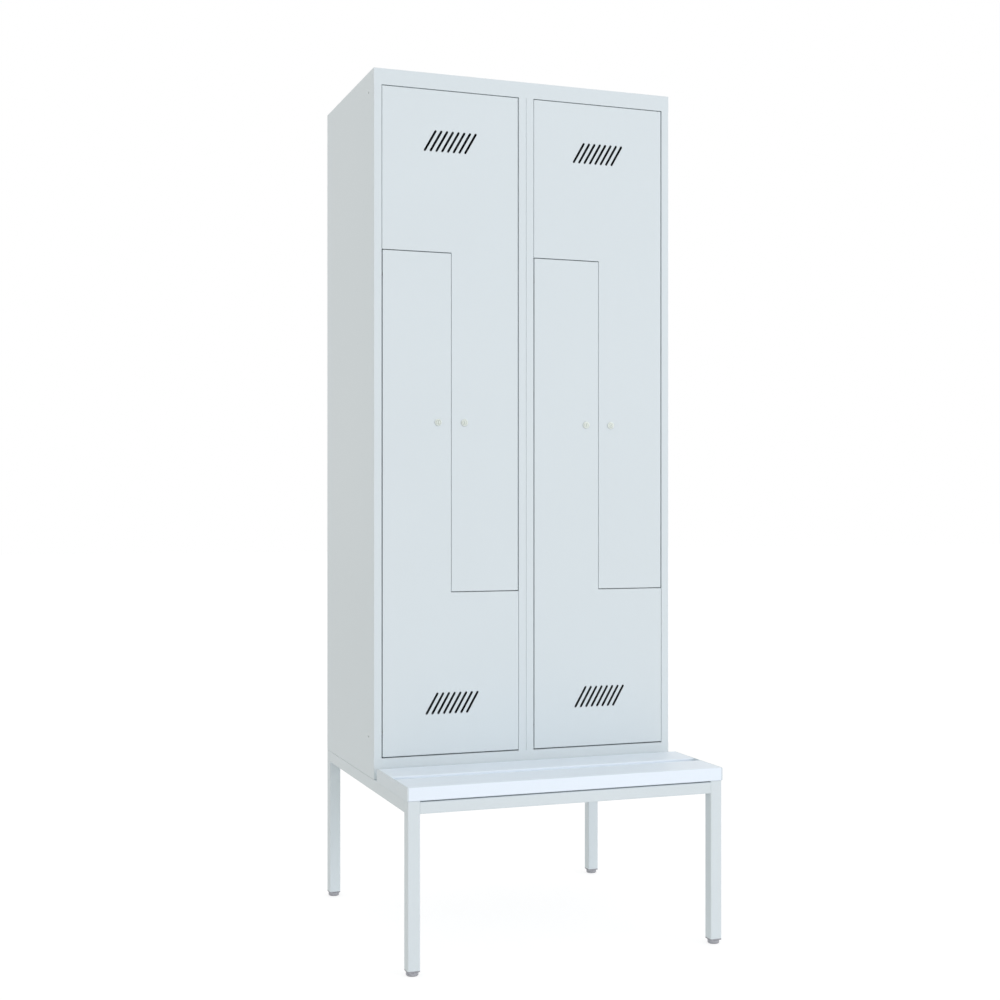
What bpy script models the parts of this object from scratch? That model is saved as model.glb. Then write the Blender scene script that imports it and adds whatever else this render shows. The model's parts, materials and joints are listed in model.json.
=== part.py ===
"""A two-column Z locker on a bench stand.

Each column is closed by two interlocking L-shaped doors, one for the upper and one for the lower compartment.
The file is in metres with +Z up. The floor is at Z = 0, the front faces -Y, and the origin is the floor point
under the middle of the whole locker. Most pieces are laid out in the carcass frame: X from the middle of the
locker, Y back from the front of the carcass and Z up from its underside.
"""

import math

import bmesh
import bpy
from mathutils import Matrix, Vector

# Clearances and sheet
FIT_GAP = 0.0003
SHEET = 0.001
CUT_OVERRUN = 0.005
WELD_DISTANCE = 0.000001
SMOOTH_ANGLE = math.radians(30)

# Carcass
COLUMN_WIDTH = 0.400
CARCASS_HEIGHT = 1.750
CARCASS_DEPTH = 0.495
POST_FACE = 0.020
HEADER_FACE = 0.040
SILL_FACE = 0.051
STOP_LIP = 0.014
REAR_RETURN = 0.013
REAR_FLANGE = 0.015
SIDE_HOLE_RADIUS = 0.0025
SIDE_HOLE_FROM_FRONT = 0.051
SIDE_HOLE_FROM_TOP = 0.050
SIDE_HOLE_FROM_BOTTOM = 0.099

# Doors
DOOR_DEPTH = 0.015
WIDE_PART_HEIGHT = 0.4025
TOP_GAP = 0.002
BOTTOM_GAP = 0.003
STEP_GAP = 0.002
MIDDLE_GAP = 0.001
LATCH_GAP = 0.001
DOOR_STOP_WIDTH = 0.030
DIMPLE_BASE_RADIUS = 0.005
DIMPLE_TIP_RADIUS = 0.0035
DIMPLE_FROM_STEP = 0.100
DIMPLE_BEHIND_DOOR = 0.0015

# Hinges
PIVOT_INSET = 0.006
PIVOT_DEPTH = 0.005
HINGE_SIDE_CLEARANCE = 0.0007
SWING_CLEARANCE = 0.0013
HINGE_FROM_DOOR_END = 0.060
BRACKET_PLATE = 0.0012
BRACKET_HALF_HEIGHT = 0.012
BRACKET_STEM_WIDTH = 0.005
LUG_THICKNESS = 0.002
LUG_RADIUS = 0.0036
PIN_RADIUS = 0.0025
PIN_END = 0.001
PIN_CLEARANCE = 0.0004
TAB_THICKNESS = 0.002
TAB_REACH = 0.0065
TAB_DEPTH = 0.007
NOTCH_CLEARANCE = 0.0007

# Vents
VENT_SLOTS = 8
VENT_PITCH = 0.0151
VENT_RUN = 0.0274
VENT_RISE = 0.0478
VENT_SLOT_WIDTH = 0.006
VENT_FROM_DOOR_END = 0.1264
VENT_FROM_MIDDLE = 0.0024

# Locks
LOCK_FROM_MIDDLE = 0.0345
LOCK_HEAD_RADIUS = 0.009
LOCK_HEAD_THICKNESS = 0.0015
LOCK_BARREL_RADIUS = 0.0075
LOCK_NUT_RADIUS = 0.011
LOCK_NUT_THICKNESS = 0.004
PLUG_RADIUS = 0.0052
KEYWAY_WIDTH = 0.0012
KEYWAY_HEIGHT = 0.007
KEYWAY_DEPTH = 0.003
DRIVE_SQUARE = 0.006
DRIVE_HEAD_RADIUS = 0.0045
DRIVE_HEAD_THICKNESS = 0.002
CAM_THICKNESS = 0.002
CAM_HALF_WIDTH = 0.006
CAM_TIP_FROM_MIDDLE = 0.004
CAM_RUNNING_GAP = 0.0008

# Coat hooks
HOOK_PLATE_WIDTH = 0.020
HOOK_PLATE_HEIGHT = 0.050
HOOK_PLATE_THICKNESS = 0.0015
HOOK_WIRE_RADIUS = 0.0025
HOOK_STRAIGHT = 0.020
HOOK_BEND_RADIUS = 0.012
HOOK_TIP = 0.008
HOOK_BELOW_CEILING = 0.080

# Stand
STAND_HEIGHT = 0.400
TUBE = 0.030
TUBE_WALL = 0.002
BENCH_REACH = 0.296
FRONT_RAIL_DROP = 0.0025

# Feet
INSERT_RIM = 0.003
INSERT_PLUG = 0.020
GLIDE_HEIGHT = 0.0094
GLIDE_RADIUS = 0.0145
GLIDE_SOLE_RADIUS = 0.0125
STEM_RADIUS = 0.004
STEM_LENGTH = 0.027

# Bench planks
PLANK_WIDTH = 0.116
PLANK_THICKNESS = 0.032
PLANK_GAP = 0.031
PLANK_FRONT_OVERHANG = 0.002
PLANK_END_OVERHANG = 0.002
PLANK_EDGE_RADIUS = 0.003
PLANK_WALL = 0.003
PLANK_RIB = 0.0025
PLANK_CHAMBERS = 3
CAP_THICKNESS = 0.0035
CAP_TONGUE = 0.012

# Places worked out from the sizes above
LOCKER_WIDTH = 2 * COLUMN_WIDTH
COLUMN_X = {"left": -COLUMN_WIDTH / 2, "right": COLUMN_WIDTH / 2}
SEAM = FIT_GAP
DOORWAY_WIDTH = COLUMN_WIDTH - 2 * POST_FACE
HINGE_SIDE_GAP = math.hypot(PIVOT_INSET, PIVOT_DEPTH) - PIVOT_INSET + HINGE_SIDE_CLEARANCE
DOOR_SWING_RADIUS = math.hypot(PIVOT_INSET, DOOR_DEPTH - PIVOT_DEPTH)
STOP_DEPTH = PIVOT_DEPTH + DOOR_SWING_RADIUS + SWING_CLEARANCE + BRACKET_PLATE + FIT_GAP
BACK_PANEL_REAR = CARCASS_DEPTH - SHEET - FIT_GAP
BACK_PANEL_FRONT = BACK_PANEL_REAR - SHEET
DOORS_BOTTOM = SILL_FACE + BOTTOM_GAP
DOORS_TOP = CARCASS_HEIGHT - HEADER_FACE - TOP_GAP
DOORS_HEIGHT = DOORS_TOP - DOORS_BOTTOM
DOORS_MIDDLE_Z = (DOORS_TOP + DOORS_BOTTOM) / 2
STEP_FROM_MIDDLE = DOORS_HEIGHT / 2 - WIDE_PART_HEIGHT - STEP_GAP / 2
PIVOT_FROM_COLUMN = DOORWAY_WIDTH / 2 - HINGE_SIDE_GAP - PIVOT_INSET
HINGE_Z = (
    -DOORS_HEIGHT / 2 + HINGE_FROM_DOOR_END,
    STEP_FROM_MIDDLE - STEP_GAP / 2 - HINGE_FROM_DOOR_END,
)
CAM_FRONT = STOP_DEPTH + SHEET + CAM_RUNNING_GAP
STAND_TOP = -FIT_GAP
FLOOR_Z = -STAND_HEIGHT
LEG_BOTTOM = FLOOR_Z + GLIDE_HEIGHT + FIT_GAP + INSERT_RIM + FIT_GAP
PLANK_FRONT = -BENCH_REACH - PLANK_FRONT_OVERHANG
CARCASS_FRONT_Y = (-PLANK_FRONT - CARCASS_DEPTH) / 2

# The directions that an outline's two coordinates and then its length run in, for each axis
PLANES = {"X": "yzx", "Y": "xzy", "Z": "xyz"}


def new_collection(name):
    made = bpy.data.collections.new(name)
    bpy.context.scene.collection.children.link(made)
    return made


def add_object(name, mesh):
    obj = bpy.data.objects.new(name, mesh)
    PARTS.objects.link(obj)
    obj.parent = CARCASS_FRAME
    return obj


def object_from(name, shape):
    mesh = bpy.data.meshes.new(name)
    shape.to_mesh(mesh)
    shape.free()
    return add_object(name, mesh)


def in_plane(axis, first, second, along):
    """The point with these outline coordinates, this far along the axis."""
    point = Vector()
    for direction, value in zip(PLANES[axis], (first, second, along)):
        setattr(point, direction, value)
    return point


def box(name, low, high):
    """A block between two opposite corners."""
    low = Vector(low)
    high = Vector(high)
    place = Matrix.Translation((low + high) / 2) @ Matrix.Diagonal((*(high - low), 1.0))
    shape = bmesh.new()
    bmesh.ops.create_cube(shape, size=1.0, matrix=place)
    return object_from(name, shape)


def rod(name, radius, start, end, end_radius=None, sides=24):
    """A cylinder between two points, or a cone where end_radius differs."""
    start = Vector(start)
    end = Vector(end)
    length = end - start
    place = Matrix.Translation((start + end) / 2) @ length.to_track_quat("Z", "Y").to_matrix().to_4x4()
    shape = bmesh.new()
    bmesh.ops.create_cone(
        shape,
        cap_ends=True,
        segments=sides,
        radius1=radius,
        radius2=radius if end_radius is None else end_radius,
        depth=length.length,
        matrix=place,
    )
    return object_from(name, shape)


def turned(name, profile, sides=24):
    """A solid turned about the Z axis from (radius, height) points, which run from its top down."""
    shape = bmesh.new()
    points = [shape.verts.new((radius, 0.0, z)) for radius, z in profile]
    for pair in zip(points, points[1:]):
        shape.edges.new(pair)
    obj = object_from(name, shape)
    screw = obj.modifiers.new("turn", "SCREW")
    screw.steps = sides
    screw.render_steps = sides
    screw.use_merge_vertices = True
    screw.merge_threshold = WELD_DISTANCE
    return obj


def mesh_of_curve(name, curve):
    """The welded mesh that Blender makes of a curve. Its caps come loose, so they are merged."""
    sketch = bpy.data.objects.new(name, curve)
    PARTS.objects.link(sketch)
    bpy.context.view_layer.update()
    graph = bpy.context.evaluated_depsgraph_get()
    mesh = bpy.data.meshes.new_from_object(sketch.evaluated_get(graph))
    bpy.data.objects.remove(sketch)
    shape = bmesh.new()
    shape.from_mesh(mesh)
    bmesh.ops.remove_doubles(shape, verts=shape.verts, dist=WELD_DISTANCE)
    return shape


def prism(name, outline, axis, start, end, holes=()):
    """A flat outline, with any holes in it, carried along an axis from start to end."""
    curve = bpy.data.curves.new(name, "CURVE")
    curve.dimensions = "2D"
    curve.fill_mode = "BOTH"
    curve.extrude = (end - start) / 2
    for loop in (outline, *holes):
        spline = curve.splines.new("POLY")
        spline.points.add(len(loop) - 1)
        for point, (first, second) in zip(spline.points, loop):
            point.co = (first, second, 0.0, 1.0)
        spline.use_cyclic_u = True
    shape = mesh_of_curve(name, curve)
    for vertex in shape.verts:
        first, second, along = vertex.co
        vertex.co = in_plane(axis, first, second, along + (start + end) / 2)
    bmesh.ops.recalc_face_normals(shape, faces=shape.faces)
    # Recalculating can turn a slim, leaning prism inside out, and then it cuts nothing.
    if shape.calc_volume(signed=True) < 0:
        bmesh.ops.reverse_faces(shape, faces=shape.faces)
    return object_from(name, shape)


def folded_sheet(name, profile, axis, start, end, offset=-1.0):
    """Bent sheet metal: its outer profile, walked with the metal on the left, carried along an axis."""
    shape = bmesh.new()
    corners = [shape.verts.new(in_plane(axis, first, second, start)) for first, second in profile]
    bends = [shape.edges.new(pair) for pair in zip(corners, corners[1:])]
    carried = bmesh.ops.extrude_edge_only(shape, edges=bends)["geom"]
    far_side = [item for item in carried if isinstance(item, bmesh.types.BMVert)]
    length = in_plane(axis, 0.0, 0.0, end - start)
    bmesh.ops.translate(shape, verts=far_side, vec=length)
    bmesh.ops.recalc_face_normals(shape, faces=shape.faces)
    first_face = next(face for face in shape.faces if corners[0] in face.verts and corners[1] in face.verts)
    outward = (corners[1].co - corners[0].co).cross(length)
    if first_face.normal.dot(outward) < 0:
        bmesh.ops.reverse_faces(shape, faces=shape.faces)
    obj = object_from(name, shape)
    sheet = obj.modifiers.new("sheet", "SOLIDIFY")
    sheet.thickness = SHEET
    sheet.offset = offset
    sheet.use_even_offset = True
    return obj


def combine(obj, others, operation):
    for other in others:
        boolean = obj.modifiers.new(other.name, "BOOLEAN")
        boolean.operation = operation
        boolean.solver = "EXACT"
        boolean.object = other
        PARTS.objects.unlink(other)
        CUTTERS.objects.link(other)
        other.hide_render = True
        other.display_type = "WIRE"


def cut(obj, *cutters):
    combine(obj, cutters, "DIFFERENCE")


def join(obj, *others):
    combine(obj, others, "UNION")


def paint(material, *objects):
    for obj in objects:
        obj.data.materials.append(material)


def shared_mesh(obj, material, origin=(0.0, 0.0, 0.0), smooth=False):
    """Turns a finished piece into a mesh for its copies to share, measured from this origin."""
    paint(material, obj)
    bpy.context.view_layer.update()
    graph = bpy.context.evaluated_depsgraph_get()
    mesh = bpy.data.meshes.new_from_object(obj.evaluated_get(graph))
    mesh.name = obj.name
    mesh.transform(Matrix.Translation(-Vector(origin)))
    if smooth:
        mesh.shade_smooth()
        mesh.set_sharp_from_angle(angle=SMOOTH_ANGLE)
    bpy.data.objects.remove(obj)
    return mesh


def place(name, mesh, location, turn=(0.0, 0.0, 0.0)):
    obj = add_object(name, mesh)
    obj.location = location
    obj.rotation_euler = turn


def make_material(name, colour, roughness, metallic=0.0):
    material = bpy.data.materials.new(name)
    material.use_nodes = True
    shader = material.node_tree.nodes["Principled BSDF"]
    shader.inputs["Base Color"].default_value = (*colour, 1.0)
    shader.inputs["Roughness"].default_value = roughness
    shader.inputs["Metallic"].default_value = metallic
    return material


def arc(centre, radius, start_angle, end_angle, steps=4):
    """Points round a centre, both ends included."""
    angles = [start_angle + (end_angle - start_angle) * step / steps for step in range(steps + 1)]
    return [(centre[0] + radius * math.cos(a), centre[1] + radius * math.sin(a)) for a in angles]


def slot_outline(start, end, radius, steps=5):
    """A slot with round ends between two centres."""
    heading = math.atan2(end[1] - start[1], end[0] - start[0])
    quarter = math.pi / 2
    return arc(end, radius, heading - quarter, heading + quarter, steps) + arc(
        start, radius, heading + quarter, heading + 3 * quarter, steps
    )


def rounded_rectangle(low, high, radius):
    quarter = math.pi / 2
    corners = (
        ((high[0] - radius, high[1] - radius), 0),
        ((low[0] + radius, high[1] - radius), 1),
        ((low[0] + radius, low[1] + radius), 2),
        ((high[0] - radius, low[1] + radius), 3),
    )
    points = []
    for centre, turns in corners:
        points += arc(centre, radius, turns * quarter, (turns + 1) * quarter)
    return points


def wall(name, column_x, side, outer):
    """One folded wall of a column: skin, post face beside the doors, and the lip that they close against."""
    inset = 0.0 if outer else SEAM / 2
    profile = [(inset, 0.0), (POST_FACE, 0.0), (POST_FACE, STOP_DEPTH), (POST_FACE + STOP_LIP, STOP_DEPTH)]
    if outer:
        profile = [(REAR_RETURN, CARCASS_DEPTH), (inset, CARCASS_DEPTH)] + profile
        low, high = 0.0, CARCASS_HEIGHT
    else:
        profile = [(inset, BACK_PANEL_FRONT - FIT_GAP)] + profile
        low, high = SHEET + FIT_GAP, CARCASS_HEIGHT - SHEET - FIT_GAP
    edge_x = column_x + side * COLUMN_WIDTH / 2
    placed = [(edge_x - side * x, y) for x, y in profile]
    if side > 0:
        placed.reverse()
    obj = folded_sheet(name, placed, "Z", low, high)

    def across(near, far):
        return sorted((edge_x - side * near, edge_x - side * far))

    skin = across(-CUT_OVERRUN, POST_FACE + STOP_LIP + CUT_OVERRUN)
    folds = across(POST_FACE / 2, POST_FACE + STOP_LIP + CUT_OVERRUN)
    front_of_skin = SHEET + FIT_GAP
    back_of_folds = STOP_DEPTH + SHEET + CUT_OVERRUN
    zones = (
        ("header", CARCASS_HEIGHT - HEADER_FACE - FIT_GAP, CARCASS_HEIGHT + CUT_OVERRUN),
        ("sill", -CUT_OVERRUN, SILL_FACE + FIT_GAP),
    )
    for zone, bottom, top in zones:
        for part, (near, far), back in (("skin", skin, front_of_skin), ("fold", folds, back_of_folds)):
            relief = box(f"{name}_{zone}_{part}_relief", (near, -CUT_OVERRUN, bottom), (far, back, top))
            cut(obj, relief)
    return obj


def side_panel(name, column_x, side):
    obj = wall(name, column_x, side, outer=True)
    edge_x = column_x + side * COLUMN_WIDTH / 2
    for level, z in (
        ("top", CARCASS_HEIGHT - SIDE_HOLE_FROM_TOP),
        ("bottom", SIDE_HOLE_FROM_BOTTOM),
    ):
        start = (edge_x - CUT_OVERRUN, SIDE_HOLE_FROM_FRONT, z)
        end = (edge_x + CUT_OVERRUN, SIDE_HOLE_FROM_FRONT, z)
        cut(obj, rod(f"{name}_{level}_hole", SIDE_HOLE_RADIUS, start, end, sides=16))
    return obj


def end_panel(name, face, at_top):
    """The top or bottom panel: a flat sheet with a rear flange and a folded header or sill in front."""
    walk = [
        (CARCASS_DEPTH, REAR_FLANGE),
        (CARCASS_DEPTH, 0.0),
        (0.0, 0.0),
        (0.0, face),
        (STOP_DEPTH, face),
        (STOP_DEPTH, face + STOP_LIP),
    ]

    def level(inward):
        return CARCASS_HEIGHT - inward if at_top else inward

    placed = [(y, level(inward)) for y, inward in walk]
    if not at_top:
        placed.reverse()
    half = LOCKER_WIDTH / 2
    obj = folded_sheet(name, placed, "X", -half, half)
    all_z = sorted((level(-CUT_OVERRUN), level(face + STOP_LIP + CUT_OVERRUN)))
    fold_z = sorted((level(face - SHEET - CUT_OVERRUN), level(face + STOP_LIP + CUT_OVERRUN)))
    rear = CARCASS_DEPTH + CUT_OVERRUN
    behind_lip = STOP_DEPTH + SHEET + CUT_OVERRUN
    lip_reach = POST_FACE + STOP_LIP + FIT_GAP

    def relief(label, x_range, y_range, z_range):
        low, high = zip(x_range, y_range, z_range)
        cut(obj, box(f"{name}_{label}", low, high))

    for label, side in (("left", -1), ("right", 1)):
        past_end = side * (half + CUT_OVERRUN)
        at_skin = side * (half - SHEET - FIT_GAP)
        at_return = side * (half - REAR_RETURN - FIT_GAP)
        at_lip = side * (half - lip_reach)
        relief(f"{label}_skin_relief", sorted((at_skin, past_end)), (SHEET + FIT_GAP / 2, rear), all_z)
        relief(
            f"{label}_return_relief",
            sorted((at_return, past_end)),
            (CARCASS_DEPTH - SHEET - FIT_GAP, rear),
            all_z,
        )
        relief(f"{label}_lip_relief", sorted((at_lip, past_end)), (STOP_DEPTH - FIT_GAP, behind_lip), fold_z)
    relief("centre_lip_relief", (-lip_reach, lip_reach), (STOP_DEPTH - FIT_GAP, behind_lip), fold_z)
    web_reach = SEAM / 2 + SHEET + FIT_GAP
    relief("centre_web_relief", (-web_reach, web_reach), (SHEET + FIT_GAP / 2, behind_lip), fold_z)
    return obj


def back_panel(name):
    half = LOCKER_WIDTH / 2 - SHEET - FIT_GAP
    edge = SHEET + FIT_GAP
    return box(name, (-half, BACK_PANEL_FRONT, edge), (half, BACK_PANEL_REAR, CARCASS_HEIGHT - edge))


def z_divider(name):
    """Upper shelf on the left, upright in the middle, lower shelf on the right, and the doors' stop in front."""
    end_x = COLUMN_WIDTH / 2 - SEAM / 2 - SHEET - FIT_GAP
    lip_x = DOORWAY_WIDTH / 2 - STOP_LIP - FIT_GAP
    step = STEP_FROM_MIDDLE
    rear = BACK_PANEL_FRONT - FIT_GAP
    walk = [(-end_x, step), (0.0, step), (0.0, -step), (end_x, -step)]
    obj = folded_sheet(name, walk, "Y", STOP_DEPTH + SHEET / 2, rear, offset=0.0)
    behind_lip = STOP_DEPTH + SHEET + FIT_GAP
    for label, side in (("upper", -1), ("lower", 1)):
        near, far = sorted((side * lip_x, side * (end_x + CUT_OVERRUN)))
        level = -side * step
        low = (near, STOP_DEPTH - CUT_OVERRUN, level - CUT_OVERRUN)
        high = (far, behind_lip, level + CUT_OVERRUN)
        cut(obj, box(f"{name}_{label}_shelf_relief", low, high))
    half = DOOR_STOP_WIDTH / 2
    stop_outline = [
        (-lip_x, step - half),
        (-half, step - half),
        (-half, -step - half),
        (lip_x, -step - half),
        (lip_x, -step + half),
        (half, -step + half),
        (half, step + half),
        (-lip_x, step + half),
    ]
    join(obj, prism(f"{name}_stop", stop_outline, "Y", STOP_DEPTH, STOP_DEPTH + SHEET))
    for label, side in (("upper", 1), ("lower", -1)):
        z = side * (step - DIMPLE_FROM_STEP)
        base = (0.0, STOP_DEPTH + SHEET / 2, z)
        tip = (0.0, DOOR_DEPTH + DIMPLE_BEHIND_DOOR, z)
        join(obj, rod(f"{name}_{label}_dimple", DIMPLE_BASE_RADIUS, base, tip, DIMPLE_TIP_RADIUS, sides=16))
    return obj


def door_outline(inset):
    """The lower door's L, drawn this far inside its edge, about the middle of the column's two doors."""
    hinge_x = -DOORWAY_WIDTH / 2 + HINGE_SIDE_GAP + inset
    latch_x = DOORWAY_WIDTH / 2 - LATCH_GAP - inset
    free_x = -MIDDLE_GAP / 2 - inset
    bottom = -DOORS_HEIGHT / 2 + inset
    step = -STEP_FROM_MIDDLE - STEP_GAP / 2 - inset
    top = STEP_FROM_MIDDLE - STEP_GAP / 2 - inset
    return [
        (hinge_x, bottom),
        (latch_x, bottom),
        (latch_x, step),
        (free_x, step),
        (free_x, top),
        (hinge_x, top),
    ]


def door(name):
    """A lower door: a folded L-shaped pan with vent slots, a lock hole and two pairs of hinge tabs."""
    obj = prism(name, door_outline(0.0), "Y", 0.0, DOOR_DEPTH)
    cut(obj, prism(f"{name}_hollow", door_outline(SHEET), "Y", SHEET, DOOR_DEPTH + CUT_OVERRUN))
    vent_z = -DOORS_HEIGHT / 2 + VENT_FROM_DOOR_END
    for index in range(VENT_SLOTS):
        x = VENT_FROM_MIDDLE + (index - (VENT_SLOTS - 1) / 2) * VENT_PITCH
        start = (x - VENT_RUN / 2, vent_z - VENT_RISE / 2)
        end = (x + VENT_RUN / 2, vent_z + VENT_RISE / 2)
        slot = slot_outline(start, end, VENT_SLOT_WIDTH / 2)
        cut(obj, prism(f"{name}_vent_{index + 1}", slot, "Y", -CUT_OVERRUN, SHEET + CUT_OVERRUN))
    lock_front = (-LOCK_FROM_MIDDLE, -CUT_OVERRUN, 0.0)
    lock_back = (-LOCK_FROM_MIDDLE, SHEET + CUT_OVERRUN, 0.0)
    cut(obj, rod(f"{name}_lock_hole", LOCK_BARREL_RADIUS + FIT_GAP, lock_front, lock_back))
    edge_x = -PIVOT_FROM_COLUMN - PIVOT_INSET
    tab_start = LUG_THICKNESS / 2 + FIT_GAP
    tab_end = tab_start + TAB_THICKNESS
    notch = tab_end + NOTCH_CLEARANCE
    for index, hinge_z in enumerate(HINGE_Z):
        low = (edge_x - CUT_OVERRUN, SHEET + FIT_GAP, hinge_z - notch)
        high = (edge_x + SHEET + FIT_GAP, DOOR_DEPTH + CUT_OVERRUN, hinge_z + notch)
        cut(obj, box(f"{name}_hinge_notch_{index + 1}", low, high))
        for label, side in (("under", -1), ("over", 1)):
            near, far = sorted((hinge_z + side * tab_start, hinge_z + side * tab_end))
            low = (edge_x + SHEET, SHEET / 2, near)
            high = (-PIVOT_FROM_COLUMN + TAB_REACH, PIVOT_DEPTH + TAB_DEPTH, far)
            join(obj, box(f"{name}_tab_{label}_{index + 1}", low, high))
        start = (-PIVOT_FROM_COLUMN, PIVOT_DEPTH, hinge_z - notch)
        end = (-PIVOT_FROM_COLUMN, PIVOT_DEPTH, hinge_z + notch)
        cut(obj, rod(f"{name}_pin_hole_{index + 1}", PIN_RADIUS + PIN_CLEARANCE, start, end, sides=16))
    return obj


def hinge_bracket(name):
    """A plate on the post's lip, with an arm that carries the hinge pin. Its origin is on the pin's axis."""
    plate_back = STOP_DEPTH - FIT_GAP - PIVOT_DEPTH
    from_post = PIVOT_INSET + HINGE_SIDE_GAP
    obj = box(
        name,
        (FIT_GAP - from_post, plate_back - BRACKET_PLATE, -BRACKET_HALF_HEIGHT),
        (STOP_LIP - from_post, plate_back, BRACKET_HALF_HEIGHT),
    )
    half_lug = LUG_THICKNESS / 2
    arm_end = plate_back - BRACKET_PLATE / 2
    low = (-BRACKET_STEM_WIDTH / 2, 0.0, -half_lug)
    high = (BRACKET_STEM_WIDTH / 2, arm_end, half_lug)
    join(obj, box(f"{name}_arm", low, high))
    join(obj, rod(f"{name}_lug", LUG_RADIUS, (0.0, 0.0, -half_lug), (0.0, 0.0, half_lug), sides=16))
    pin_half = half_lug + FIT_GAP + TAB_THICKNESS + PIN_END
    join(obj, rod(f"{name}_pin", PIN_RADIUS, (0.0, 0.0, -pin_half), (0.0, 0.0, pin_half), sides=16))
    return obj


def lock_housing(name):
    """The lock's fixed barrel, with its head in front of the door and its nut behind."""
    barrel = ((0.0, -FIT_GAP - LOCK_HEAD_THICKNESS / 2, 0.0), (0.0, CAM_FRONT - FIT_GAP, 0.0))
    obj = rod(name, LOCK_BARREL_RADIUS, *barrel)
    head = ((0.0, -FIT_GAP - LOCK_HEAD_THICKNESS, 0.0), (0.0, -FIT_GAP, 0.0))
    nut_front = SHEET + FIT_GAP
    nut = ((0.0, nut_front, 0.0), (0.0, nut_front + LOCK_NUT_THICKNESS, 0.0))
    join(obj, rod(f"{name}_head", LOCK_HEAD_RADIUS, *head))
    join(obj, rod(f"{name}_nut", LOCK_NUT_RADIUS, *nut, sides=6))
    bore = ((0.0, -CUT_OVERRUN, 0.0), (0.0, CAM_FRONT + CUT_OVERRUN, 0.0))
    cut(obj, rod(f"{name}_bore", PLUG_RADIUS + FIT_GAP, *bore))
    return obj


def lock_plug(name):
    """The turning plug: keyway in front, square drive and its retaining head behind."""
    front = -FIT_GAP - LOCK_HEAD_THICKNESS
    shoulder = CAM_FRONT - FIT_GAP
    cam_back = CAM_FRONT + CAM_THICKNESS + FIT_GAP
    obj = rod(name, PLUG_RADIUS, (0.0, front, 0.0), (0.0, shoulder, 0.0))
    half = DRIVE_SQUARE / 2
    overlap = DRIVE_HEAD_THICKNESS / 2
    join(obj, box(f"{name}_drive", (-half, shoulder - overlap, -half), (half, cam_back + overlap, half)))
    head = ((0.0, cam_back, 0.0), (0.0, cam_back + DRIVE_HEAD_THICKNESS, 0.0))
    join(obj, rod(f"{name}_head", DRIVE_HEAD_RADIUS, *head, sides=16))
    low = (-KEYWAY_WIDTH / 2, front - CUT_OVERRUN, -KEYWAY_HEIGHT / 2)
    high = (KEYWAY_WIDTH / 2, front + KEYWAY_DEPTH, KEYWAY_HEIGHT / 2)
    cut(obj, box(f"{name}_keyway", low, high))
    return obj


def lock_cam(name):
    """The bar that turns behind the door stop. It points down when the door is unlocked."""
    tip_centre = CAM_HALF_WIDTH + CAM_TIP_FROM_MIDDLE - LOCK_FROM_MIDDLE
    outline = slot_outline((0.0, 0.0), (0.0, tip_centre), CAM_HALF_WIDTH)
    obj = prism(name, outline, "Y", CAM_FRONT, CAM_FRONT + CAM_THICKNESS)
    half = DRIVE_SQUARE / 2 + FIT_GAP
    low = (-half, CAM_FRONT - CUT_OVERRUN, -half)
    high = (half, CAM_FRONT + CAM_THICKNESS + CUT_OVERRUN, half)
    cut(obj, box(f"{name}_square_hole", low, high))
    return obj


def coat_hook(name):
    """A wire hook on a small plate. Its origin is at the plate's middle, on the back panel."""
    half_width = HOOK_PLATE_WIDTH / 2
    half_height = HOOK_PLATE_HEIGHT / 2
    back = -FIT_GAP
    front = back - HOOK_PLATE_THICKNESS
    obj = box(name, (-half_width, front, -half_height), (half_width, back, half_height))
    bend_y = front - HOOK_STRAIGHT
    bend = arc((bend_y, HOOK_BEND_RADIUS), HOOK_BEND_RADIUS, -math.pi / 2, -math.pi, steps=5)
    path = [((front + back) / 2, 0.0)] + bend + [(bend_y - HOOK_BEND_RADIUS, HOOK_BEND_RADIUS + HOOK_TIP)]
    curve = bpy.data.curves.new(f"{name}_wire", "CURVE")
    curve.dimensions = "3D"
    curve.bevel_depth = HOOK_WIRE_RADIUS
    curve.bevel_resolution = 2
    curve.use_fill_caps = True
    spline = curve.splines.new("POLY")
    spline.points.add(len(path) - 1)
    for point, (y, z) in zip(spline.points, path):
        point.co = (0.0, y, z, 1.0)
    shape = mesh_of_curve(f"{name}_wire", curve)
    join(obj, object_from(f"{name}_wire", shape))
    return obj


def square_tube(name, low, high, axis):
    """A hollow tube between two corners, open at both ends along its axis."""
    obj = box(name, low, high)
    bore_low = Vector(low)
    bore_high = Vector(high)
    for index, letter in enumerate("XYZ"):
        inset = -CUT_OVERRUN if letter == axis else TUBE_WALL
        bore_low[index] += inset
        bore_high[index] -= inset
    cut(obj, box(f"{name}_bore", bore_low, bore_high))
    return obj


def foot_insert(name):
    """The plug in the leg's end, with a square rim under it. Its origin is on the rim's underside."""
    half = TUBE / 2
    obj = box(name, (-half, -half, 0.0), (half, half, INSERT_RIM))
    plug = half - TUBE_WALL - FIT_GAP
    low = (-plug, -plug, INSERT_RIM / 2)
    join(obj, box(f"{name}_plug", low, (plug, plug, INSERT_RIM + INSERT_PLUG)))
    bore = ((0.0, 0.0, -CUT_OVERRUN), (0.0, 0.0, INSERT_RIM + INSERT_PLUG + CUT_OVERRUN))
    cut(obj, rod(f"{name}_bore", STEM_RADIUS + FIT_GAP, *bore, sides=16))
    return obj


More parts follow.
